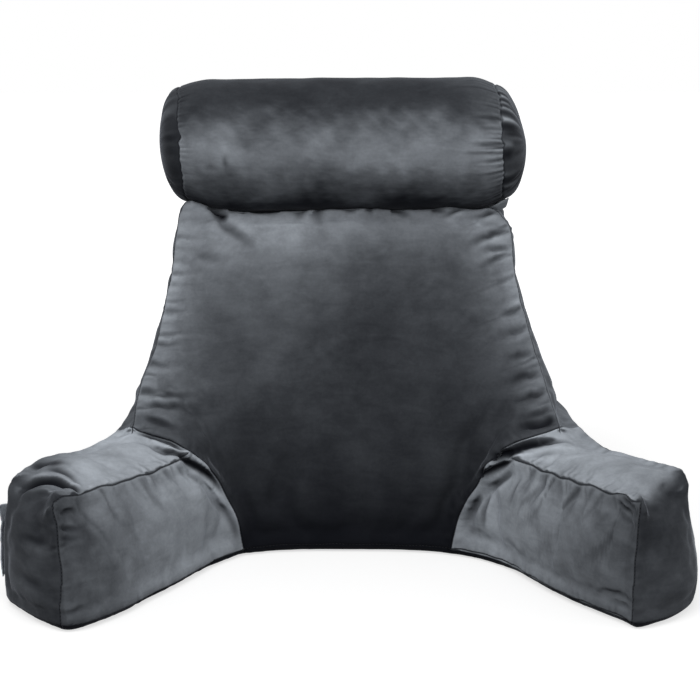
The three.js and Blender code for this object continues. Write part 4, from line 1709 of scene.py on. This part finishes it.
        # the crests' painted highlight is stronger on the discs' upper halves, where light falls
        above = 0.35 + 0.65 * smoothstep(-0.2, 0.7, np.sin(turn))
        light = rim * above * np.clip(wave, 0.0, 1.0)
        puff = 1.1 * wave * rim
        fold = 0.5 * rim * np.clip(-wave, 0.0, 1.0)
        for at, width, length, height in self.end_pleats:
            swing = (np.degrees(turn) - at) / width
            share = (x > 0) * (disc > 0) * (1.0 - smoothstep(0.4 * length, length, disc))
            puff = puff + height * bell(swing, 1.0) * share
            light = np.maximum(light, 1.1 * height * bell(swing, 0.9) * share)
            fold = np.maximum(fold, 0.7 * bell(swing - 2.4, 1.4) * share)
        return puff, fold, light

    def _tone(self, x: Array, turn: Array, disc: Array) -> Array:
        """The tone: brushed pile and painted light round the barrel, with wisps along the edges of
        the light band, lighter towards the right end, and the end discs lighter on top as painted
        light.
        """
        place = self._places(x, turn)
        wisps = np.column_stack([0.5 * place[:, 0], place[:, 1:]])
        stray = 5.0 * drift(place, 70.0, 90) + 3.0 * drift(place, 26.0, 92)
        stray = stray + 2.2 * drift(wisps, 11.0, 93) + 1.2 * drift(wisps, 5.0, 95)
        swing = np.degrees(turn) + stray.reshape(turn.shape)
        tone = np.interp(swing, self.turns, self.tones, period=360)
        tone = tone * (1.0 + 0.05 * drift(place, 55.0, 94).reshape(turn.shape))
        tone = tone + 0.09 * smoothstep(100.0, 185.0, x)
        tone = tone + 0.06 * bell(x - 198.0, 30.0) * smoothstep(0.2, 0.8, np.sin(turn))
        above = smoothstep(0.3, 0.8, np.sin(turn))
        ends = np.where(x > 0, 0.42 + 0.2 * above, 0.26 + 0.12 * above)
        return np.where(disc > 0, ends, tone) * np.ones(turn.shape)


# ---- strip and pocket


@dataclass
class JoiningStrip:
    """The strip of cloth that sews the roll to the backrest; its right end shows.

    Sizes are in millimetres, turns in degrees round the roll.
    """

    roll: NeckRoll
    thickness: float = 1.4
    lift: float = 1.6
    start: float = -112.0
    end: float = -62.0
    half: float = 196.0
    tab: float = 15.0
    drop: float = 11.0
    # how far the loose end starts earlier round the roll, shifts inward, and tucks in
    loose_turn: float = 8.0
    loose_shift: float = 5.0
    tuck: float = 5.0
    columns: int = 18

    def build(self) -> bpy.types.Object:
        """Makes the strip.

        Returns:
            The finished piece.
        """
        roll = self.roll
        stations = np.concatenate(
            [np.linspace(-self.half, self.half, 110), self.half + np.linspace(2, self.tab, 8)]
        )
        rows = []
        for x in stations:
            loose = float(smoothstep(168.0, 202.0, x))
            start = self.start - self.loose_turn * loose
            turned = max(0.0, x - self.half) / self.tab
            radius = roll.barrel(min(x, roll.half[1])) + self.lift - self.tuck * turned**2
            line = []
            for share in np.linspace(0.0, 1.0, self.columns):
                turn = math.radians(start + (self.end - start) * share)
                sag = math.sin(math.pi * min(1.0, 0.12 + share)) ** 0.8
                reach = radius + self.drop * loose * sag
                up = reach * math.sin(turn)
                along = roll.centre_x + x - roll.skew * up - self.loose_shift * loose * sag
                across = roll.centre_y + reach * math.cos(turn)
                line.append((along, across, roll.centre_z + up + roll.tilt * x))
            rows.append(line)
        sheet = grid_mesh(np.array(rows) * MM)
        return walled("roll_strip_cloth", sheet, self.thickness, self._tone)

    @staticmethod
    def _tone(points: Array) -> Array:
        """The tone: lighter on the loose right end, a painted highlight where it shows under the
        roll.
        """
        return 0.34 + 0.5 * smoothstep(0.176, 0.190, points[:, 0])

    def flat_size(self) -> tuple[float, float]:
        """The strip's cut size in metres."""
        arc = math.radians(self.end - self.start) * (self.roll.radius + self.lift)
        return (2 * self.half + self.tab) * MM, arc * MM


@dataclass
class PatchPocket:
    """The patch pocket on the outer side of the left arm, its mouth a little open.

    Sizes are in millimetres; front and rear are the x and y of its upright edges.
    """

    front: tuple[float, float] = (-400.0, -311.0)
    rear: tuple[float, float] = (-328.0, -194.0)
    bottom: float = 34.0
    top: float = 118.0
    lift: float = 1.2
    mouth: float = 5.0
    mouth_sag: float = 4.0
    corner: float = 4.0
    gape: float = 3.5
    hem: float = 16.0
    thickness: float = 1.5
    columns: int = 60
    rows: int = 44

    def build(self, body: Surface) -> bpy.types.Object:
        """Makes the pocket on the side of the arm.

        Args:
            body: The body's surface.

        Returns:
            The finished piece.
        """
        front, rear = np.array(self.front), np.array(self.rear)
        along = (rear - front) / np.linalg.norm(rear - front)
        out = np.array([-along[1], along[0]])
        out = out if out[0] < 0 else -out
        share, level = (
            axis.ravel()
            for axis in np.meshgrid(np.linspace(0, 1, self.columns), np.linspace(0, 1, self.rows))
        )
        plan = front + (rear - front) * share[:, None] + out * 4.0
        bow = np.sin(math.pi * share)
        sag = self.mouth_sag * bow * level**3
        raw = np.column_stack([plan, self.bottom + (self.top - self.bottom) * level - sag]) * MM
        places, normals = body.nearest(raw)
        open_by = self.mouth * level**2 * (0.35 + 0.65 * bow**0.5)
        corner = bell(share, 0.09) * bell(1.0 - level, 0.1) * self.corner
        hem_from = 1.0 - self.hem / (self.top - self.bottom)
        band = 0.7 * smoothstep(hem_from - 0.02, hem_from, level)
        gape = self.gape * bell(share - 0.05, 0.11) * (0.85 + 0.15 * np.sin(math.pi * level))
        lift = (self.lift + open_by + corner + band + gape + 0.6 * drift(raw, 0.03, 91)) * MM
        grid = (places + normals * lift[:, None]).reshape(self.rows, self.columns, 3)
        return walled("arm_pocket_cloth", grid_mesh(grid), self.thickness, self._tone)

    @staticmethod
    def _tone(points: Array) -> Array:
        """The tone: lighter towards its front edge, a painted highlight of the sheen there."""
        return 0.62 + 0.5 * (1.0 - smoothstep(-0.3, -0.245, points[:, 1]))

    def flat_size(self) -> tuple[float, float]:
        """The pocket's cut size in metres."""
        width = float(np.linalg.norm(np.array(self.rear) - np.array(self.front)))
        return width * MM, (self.top - self.bottom) * MM


# ---- nodes


class Wiring:
    """Adds nodes to a tree and wires them up."""

    def __init__(self, tree: bpy.types.NodeTree) -> None:
        """Takes the tree to add to.

        Args:
            tree: The tree.
        """
        self.tree = tree

    @classmethod
    def of_group(
        cls,
        kind: str,
        name: str,
        inputs: Sequence[tuple[str, str, object]],
        outputs: Sequence[tuple[str, str]],
    ) -> "Wiring":
        """A new node group with named sockets.

        Args:
            kind: The tree's type.
            name: The group's name.
            inputs: Name, kind of value and default of each input.
            outputs: Name and kind of value of each output.

        Returns:
            The wiring of the group, with its input and output nodes in place.
        """
        tree = bpy.data.node_groups.new(name, kind)
        for label, value, default in inputs:
            made = tree.interface.new_socket(
                label, in_out="INPUT", socket_type=f"NodeSocket{value}"
            )
            if default is not None:
                made.default_value = default
        for label, value in outputs:
            tree.interface.new_socket(label, in_out="OUTPUT", socket_type=f"NodeSocket{value}")
        tree.nodes.new("NodeGroupInput")
        tree.nodes.new("NodeGroupOutput")
        return cls(tree)

    @classmethod
    def of_material(cls, name: str) -> tuple[bpy.types.Material, "Wiring"]:
        """A new material with its Principled shader, and the wiring of its tree."""
        material = bpy.data.materials.new(name)
        material.use_nodes = True
        return material, cls(material.node_tree)

    @property
    def given(self) -> bpy.types.NodeOutputs:
        """The sockets that a group is given."""
        return self.tree.nodes["Group Input"].outputs

    def feed(self, node: bpy.types.Node | str, inputs: dict[str | int, object]) -> None:
        """Links or sets the inputs of a node.

        Args:
            node: The node or its name.
            inputs: A socket to link or a value to set, for each input.
        """
        node = self.tree.nodes[node] if isinstance(node, str) else node
        for label, value in inputs.items():
            if isinstance(value, bpy.types.NodeSocket):
                self.tree.links.new(value, node.inputs[label])
            else:
                node.inputs[label].default_value = value

    def add(
        self, kind: str, inputs: dict[str | int, object] | None = None, **settings: object
    ) -> bpy.types.NodeOutputs:
        """Adds a node.

        Args:
            kind: Its type.
            inputs: A socket to link or a value to set, for each input.
            settings: The node's own settings.

        Returns:
            Its outputs.
        """
        node = self.tree.nodes.new(kind)
        for label, value in settings.items():
            setattr(node, label, value)
        self.feed(node, inputs or {})
        return node.outputs

    def math(self, operation: str, *values: object) -> bpy.types.NodeSocket:
        """A Math node's output, from sockets or numbers."""
        return self.add("ShaderNodeMath", dict(enumerate(values)), operation=operation)[0]

    def noise(
        self, place: bpy.types.NodeSocket, scale: float, detail: float, bend: float
    ) -> bpy.types.NodeSocket:
        """A Noise Texture's factor, centred on zero.

        Args:
            place: The socket of the place that it reads.
            scale: Its scale.
            detail: Its detail.
            bend: Its distortion.

        Returns:
            The output socket.
        """
        inputs = {"Scale": scale, "Detail": detail, "Roughness": 0.58, "Distortion": bend}
        noise = self.add("ShaderNodeTexNoise", {**inputs, "Vector": place})
        return self.math("SUBTRACT", noise["Fac"], 0.5)

    def patches(self, value: bpy.types.NodeSocket, edge: float) -> bpy.types.NodeSocket:
        """Noise turned into patches with soft edges, from -0.5 to 0.5.

        Args:
            value: The noise, centred on zero.
            edge: Half the noise's span over which a patch fades.

        Returns:
            The output socket.
        """
        span = {"From Min": -edge, "From Max": edge, "To Min": -0.5, "To Max": 0.5}
        ramp = self.add(
            "ShaderNodeMapRange", {**span, "Value": value}, interpolation_type="SMOOTHSTEP"
        )
        return ramp["Result"]


# ---- stitches


@dataclass
class StitchRun:
    """Stitches that follow lines, laid by Geometry Nodes; sizes in metres."""

    name: str
    pitch: float = 0.0042
    length: float = 0.0027
    radius: float = 0.00026
    sides: int = 6

    def _tree(self, thread: bpy.types.Material) -> bpy.types.GeometryNodeTree:
        """The node tree: even points along the lines, a stitch on each.

        Args:
            thread: Material of the thread.

        Returns:
            The tree.
        """
        wiring = Wiring.of_group(
            "GeometryNodeTree",
            f"{self.name}_stitches",
            (
                ("Lines", "Geometry", None),
                ("Pitch", "Float", self.pitch),
                ("Stitch Length", "Float", self.length),
                ("Thread Radius", "Float", self.radius),
            ),
            (("Stitches", "Geometry"),),
        )
        given = wiring.given
        even = wiring.add(
            "GeometryNodeResampleCurve",
            {"Curve": given["Lines"], "Length": given["Pitch"]},
            mode="LENGTH",
        )
        stitch = wiring.add(
            "GeometryNodeMeshCylinder",
            {
                "Vertices": self.sides,
                "Radius": given["Thread Radius"],
                "Depth": given["Stitch Length"],
            },
            fill_type="TRIANGLE_FAN",
        )
        tangent = wiring.add("GeometryNodeInputTangent")["Tangent"]
        turn = wiring.add("FunctionNodeAlignEulerToVector", {"Vector": tangent}, axis="Z")
        laid = wiring.add(
            "GeometryNodeInstanceOnPoints",
            {"Points": even["Curve"], "Instance": stitch["Mesh"], "Rotation": turn["Rotation"]},
        )
        real = wiring.add("GeometryNodeRealizeInstances", {"Geometry": laid["Instances"]})
        dressed = wiring.add(
            "GeometryNodeSetMaterial", {"Geometry": real["Geometry"], "Material": thread}
        )
        wiring.feed("Group Output", {"Stitches": dressed["Geometry"]})
        return wiring.tree

    def build(self, lines: Sequence[Array], thread: bpy.types.Material) -> bpy.types.Object:
        """Makes the stitches along some lines.

        Args:
            lines: Lines as arrays of places.
            thread: Material of the thread.

        Returns:
            The finished piece.
        """
        curve = bpy.data.curves.new(self.name, "CURVE")
        curve.dimensions = "3D"
        for line in lines:
            spline = curve.splines.new("POLY")
            spline.points.add(len(line) - 1)
            for point, place in zip(spline.points, line, strict=True):
                point.co = (*place, 1.0)
        guide = placed(f"{self.name}_guide", curve)
        sew = guide.modifiers.new("sew", "NODES")
        sew.node_group = self._tree(thread)
        for item in sew.node_group.interface.items_tree:
            if item.name == "Pitch":
                sew[item.identifier] = self.pitch
        return finished_object(self.name, baked(guide))


# ---- materials


class VelvetGroups:
    """Shader node groups that all the velvet shares."""

    def __init__(self) -> None:
        """Builds the groups once."""
        self.pile = self._pile()
        self.tone = self._tone()

    @staticmethod
    def _pile() -> bpy.types.ShaderNodeTree:
        """Brushed pile: patches and strokes of lighter and darker nap, and its height."""
        wiring = Wiring.of_group(
            "ShaderNodeTree",
            "brushed_pile",
            (
                ("Vector", "Vector", (0.0, 0.0, 0.0)),
                ("Patches", "Float", 0.10),
                ("Strokes", "Float", 0.10),
                ("Grain", "Float", 0.10),
            ),
            (("Nap", "Float"), ("Height", "Float")),
        )
        given = wiring.given
        place = given["Vector"]
        broad = wiring.patches(wiring.noise(place, 7.0, 6.0, 0.5), 0.17)
        small = wiring.patches(wiring.noise(place, 23.0, 4.0, 0.5), 0.2)
        slant = wiring.add(
            "ShaderNodeMapping",
            {"Vector": place, "Rotation": (0.1, 0.15, 0.0), "Scale": (0.8, 1.0, 2.6)},
        )
        stroke = wiring.patches(wiring.noise(slant[0], 30.0, 5.0, 0.9), 0.2)
        grain = wiring.noise(place, 260.0, 2.0, 0.0)
        fine = wiring.noise(place, 1400.0, 1.0, 0.0)
        patches = wiring.math("MULTIPLY_ADD", small, 0.45, broad)
        total = wiring.math("MULTIPLY", patches, given["Patches"])
        total = wiring.math("MULTIPLY_ADD", stroke, given["Strokes"], total)
        total = wiring.math("MULTIPLY_ADD", grain, given["Grain"], total)
        height = wiring.math("MULTIPLY_ADD", stroke, 0.4, fine)
        wiring.feed("Group Output", {"Nap": total, "Height": height})
        return wiring.tree

    @staticmethod
    def _tone() -> bpy.types.ShaderNodeTree:
        """The colour of velvet from its tone, which holds painted light and shade, mottling, the
        painted highlight on crests, the painted shade in troughs, and seam lines.
        """
        wiring = Wiring.of_group(
            "ShaderNodeTree",
            "velvet_tone",
            (
                ("Tone", "Float", 0.5),
                ("Nap", "Float", 0.0),
                ("Crest", "Float", 0.0),
                ("Fold", "Float", 0.0),
                ("Seam", "Float", 0.0),
                ("Dark", "Color", (0.003, 0.0033, 0.0042, 1.0)),
                ("Light", "Color", (0.32, 0.348, 0.375, 1.0)),
                # how much the crests' painted highlight lifts and the troughs' painted shade
                # darkens
                ("Crest Lift", "Float", 0.22),
                ("Fold Depth", "Float", 0.8),
                ("Seam Depth", "Float", 0.6),
            ),
            (("Color", "Color"),),
        )
        given = wiring.given
        share = wiring.math("MULTIPLY_ADD", given["Tone"], 0.9, 0.3)
        level = wiring.math("MULTIPLY_ADD", given["Nap"], share, given["Tone"])
        level = wiring.math("MULTIPLY_ADD", given["Crest"], given["Crest Lift"], level)
        for mask in ("Fold", "Seam"):
            dark = wiring.math("MULTIPLY", given[mask], given[f"{mask} Depth"])
            level = wiring.math("MULTIPLY", level, wiring.math("SUBTRACT", 1.0, dark))
        level = wiring.math("MAXIMUM", level, 0.02)
        albedo = wiring.math("POWER", level, 2.2)
        mix = wiring.add(
            "ShaderNodeMix",
            {"Factor": albedo, "A": given["Dark"], "B": given["Light"]},
            data_type="RGBA",
            clamp_factor=False,
        )
        wiring.feed("Group Output", {"Color": mix["Result"]})
        return wiring.tree


@dataclass(frozen=True)
class Velvet:
    """A velvet finish.

    Attributes:
        name: The material's name.
        dark: Colour at the lowest tone, where the pile leans away and where shade is painted.
        light: Colour at the highest tone, where the pile leans to the light and where light and
            sheen are painted.
        patches: Contrast of the broad brushed patches.
        strokes: Contrast of the short brush strokes.
        sheen: Weight of the pile's glow at its edges.
        sheen_roughness: How wide that glow is.
        tint: Colour of the glow.
        bump: Strength of the pile's relief.
        bump_height: Height of that relief, in metres.
    """

    name: str
    dark: Color = (0.0028, 0.0036, 0.0068)
    light: Color = (0.318, 0.345, 0.380)
    patches: float = 0.15
    strokes: float = 0.065
    sheen: float = 0.3
    sheen_roughness: float = 0.3
    tint: Color = (0.82, 0.88, 1.0)
    bump: float = 0.25
    bump_height: float = 0.0006

    def make(self, groups: VelvetGroups) -> bpy.types.Material:
        """The material.

        Args:
            groups: The shared node groups.

        Returns:
            The material.
        """
        material, wiring = Wiring.of_material(self.name)
        place = wiring.add("ShaderNodeTexCoord")["Object"]
        pile = wiring.add(
            "ShaderNodeGroup",
            {"Vector": place, "Patches": self.patches, "Strokes": self.strokes},
            node_tree=groups.pile,
        )
        masks = {
            label: wiring.add("ShaderNodeAttribute", attribute_name=mask.value)["Fac"]
            for mask, label in (
                (Mask.NAP, "Tone"),
                (Mask.SEAM, "Seam"),
                (Mask.FOLD, "Fold"),
                (Mask.CREST, "Crest"),
            )
        }
        colors = {"Dark": (*self.dark, 1.0), "Light": (*self.light, 1.0)}
        tone = wiring.add(
            "ShaderNodeGroup", {**colors, "Nap": pile["Nap"], **masks}, node_tree=groups.tone
        )
        relief = {"Strength": self.bump, "Distance": self.bump_height}
        bump = wiring.add("ShaderNodeBump", {**relief, "Height": pile["Height"]})
        wiring.feed(
            "Principled BSDF",
            {
                "Base Color": tone["Color"],
                "Normal": bump["Normal"],
                "Roughness": 0.85,
                "Specular IOR Level": 0.15,
                "Sheen Weight": self.sheen,
                "Sheen Roughness": self.sheen_roughness,
                "Sheen Tint": (*self.tint, 1.0),
            },
        )
        return material


FINISHES: tuple[Velvet, ...] = (
    Velvet("velvet_body"),
    Velvet("velvet_roll", patches=0.11),
    Velvet("velvet_trim", patches=0.08),
)


@dataclass(frozen=True)
class Thread:
    """Sewing thread, a little darker than the velvet."""

    name: str = "seam_thread"
    color: Color = (0.02, 0.022, 0.026)
    highlight: float = 2.2

    def make(self) -> bpy.types.Material:
        """The material, with a fine twist along the thread."""
        material, wiring = Wiring.of_material(self.name)
        place = wiring.add("ShaderNodeTexCoord")["Object"]
        twist = wiring.add("ShaderNodeTexNoise", {"Scale": 1200.0, "Vector": place})
        colors = {"A": (*self.color, 1.0), "B": (*(self.highlight * c for c in self.color), 1.0)}
        ramp = wiring.add("ShaderNodeMix", {**colors, "Factor": twist["Fac"]}, data_type="RGBA")
        wiring.feed("Principled BSDF", {"Base Color": ramp["Result"], "Roughness": 0.7})
        return material


# ---- studio


@dataclass
class Studio:
    """Pale floor, soft light and the camera."""

    camera_at: Place = (0.0, -2.4535, 0.8011)
    look_at: Place = (0.0, -0.115, 0.2612)
    lens: float = 99.1
    floor_size: float = 12.0
    floor_height: float = -0.0005
    # distance from the middle over which the floor turns white, and its glow before and after
    floor_fade: tuple[float, float] = (0.45, 1.3)
    floor_glow: tuple[float, float] = (0.66, 1.0)
    # name, place, width and power of each lamp, and what they face
    lamps: tuple[tuple[str, Place, float, float], ...] = (
        ("key", (-0.35, -1.7, 2.5), 1.8, 40.0),
        ("fill", (1.8, -1.3, 1.1), 1.6, 4.0),
    )
    lamps_face: Place = (0.0, -0.1, 0.25)
    even_light: float = 0.365

    def build(self) -> None:
        """Sets the camera, floor, lights, world and view."""
        self._camera()
        self._floor()
        self._lamps()
        self._world()
        bpy.context.scene.view_settings.view_transform = "Standard"

    @staticmethod
    def _aim(piece: bpy.types.Object, at: Place, to: Place) -> None:
        """Puts a camera or a lamp in its place and turns it to another."""
        piece.location = at
        piece.rotation_euler = (Vector(to) - Vector(at)).to_track_quat("-Z", "Y").to_euler()

    def _camera(self) -> None:
        """The camera, aimed at the pillow."""
        data = bpy.data.cameras.new("camera")
        data.lens = self.lens
        data.sensor_width = 36.0
        camera = placed("camera", data)
        self._aim(camera, self.camera_at, self.look_at)
        bpy.context.scene.camera = camera

    def _lamps(self) -> None:
        """The large soft lamps."""
        for name, at, size, watts in self.lamps:
            data = bpy.data.lights.new(name, "AREA")
            data.shape = "DISK"
            data.size = size
            data.energy = watts
            self._aim(placed(name, data), at, self.lamps_face)

    def _floor(self) -> None:
        """A plain pale floor that turns white towards the camera but keeps the shadow."""
        half = self.floor_size / 2
        mesh = bpy.data.meshes.new("floor")
        corners = [(-half, -half, 0), (half, -half, 0), (half, half, 0), (-half, half, 0)]
        mesh.from_pydata(corners, [], [(0, 1, 2, 3)])
        floor = placed("floor", mesh)
        floor.location.z = self.floor_height
        material, wiring = Wiring.of_material("floor")
        place = wiring.add("ShaderNodeTexCoord")["Object"]
        away = wiring.add("ShaderNodeVectorMath", {0: place}, operation="LENGTH")["Value"]
        ends = ("From Min", "From Max", "To Min", "To Max")
        fade = dict(zip(ends, (*self.floor_fade, *self.floor_glow), strict=True))
        glow = wiring.add("ShaderNodeMapRange", {**fade, "Value": away})["Result"]
        seen = wiring.add("ShaderNodeLightPath")["Is Camera Ray"]
        wiring.feed(
            "Principled BSDF",
            {
                "Base Color": (0.5, 0.5, 0.5, 1.0),
                "Roughness": 1.0,
                "Specular IOR Level": 0.0,
                "Emission Color": (1.0, 1.0, 1.0, 1.0),
                "Emission Strength": wiring.math("MULTIPLY", seen, glow),
            },
        )
        mesh.materials.append(material)
        floor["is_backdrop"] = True

    def _world(self) -> None:
        """Even light all round, white where the camera sees it."""
        world = bpy.data.worlds.new("studio")
        world.use_nodes = True
        wiring = Wiring(world.node_tree)
        seen = wiring.add("ShaderNodeLightPath")["Is Camera Ray"]
        ends = {"To Min": self.even_light, "To Max": 1.0}
        strength = wiring.add("ShaderNodeMapRange", {**ends, "Value": seen})["Result"]
        wiring.feed("Background", {"Color": (1.0, 1.0, 1.0, 1.0), "Strength": strength})
        bpy.context.scene.world = world


# ---- the whole pillow


def declare(
    piece: bpy.types.Object, material: bpy.types.Material, slot: str, *nodes: str
) -> bpy.types.Object:
    """Dresses a piece and tells the frame what it is.

    Args:
        piece: The piece.
        material: Its material.
        slot: The record's material slot; not used.
        nodes: The CAD nodes that it stands for.

    Returns:
        The piece.
    """
    piece.data.materials.clear()
    piece.data.materials.append(material)
    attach(piece, "root")
    if nodes:
        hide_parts(*nodes)
    return piece


def box_of(measure: Callable[[], tuple]) -> list[list[float]]:
    """A box's two corners as plain lists of numbers."""
    return [[float(v) for v in corner] for corner in measure()]


def main(frame: dict) -> None:
    """Builds the pillow in order.
    """
    logging.basicConfig(level=logging.INFO, format="%(message)s")
    cad_box = box_of(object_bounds)
    Studio().build()
    groups = VelvetGroups()
    velvets = {finish.name: finish.make(groups) for finish in FINISHES}
    thread = Thread().make()

    maker = PillowBody()
    body = maker.build(frame["nodes"])
    declare(body, velvets["velvet_body"], "velvet_body", *maker.nodes)
    log.info("body: %d points", len(body.data.vertices))

    roll_maker = NeckRoll()
    roll = declare(roll_maker.build(), velvets["velvet_roll"], "velvet_roll", "neck_roll")
    log.info("roll: %d points", len(roll.data.vertices))

    trim = velvets["velvet_trim"]
    strip_maker = JoiningStrip(roll_maker)
    strip = declare(strip_maker.build(), trim, "velvet_trim", "roll_strip")
    log.info("strip: %d points", len(strip.data.vertices))

    pocket_maker = PatchPocket()
    pocket = declare(pocket_maker.build(Surface(body.data)), trim, "velvet_trim", "arm_pocket")
    log.info("pocket: %d points", len(pocket.data.vertices))

    seam_lines = [trail.points for trail in maker.trails.values()]
    seam_stitches = StitchRun("seam_stitches").build(seam_lines, thread)
    declare(seam_stitches, thread, "velvet_trim")
    log.info("seam stitches: %d points", len(seam_stitches.data.vertices))

    {"cad": cad_box, "visual": box_of(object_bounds)}


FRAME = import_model()

if __name__ == "__main__":
    main(FRAME)
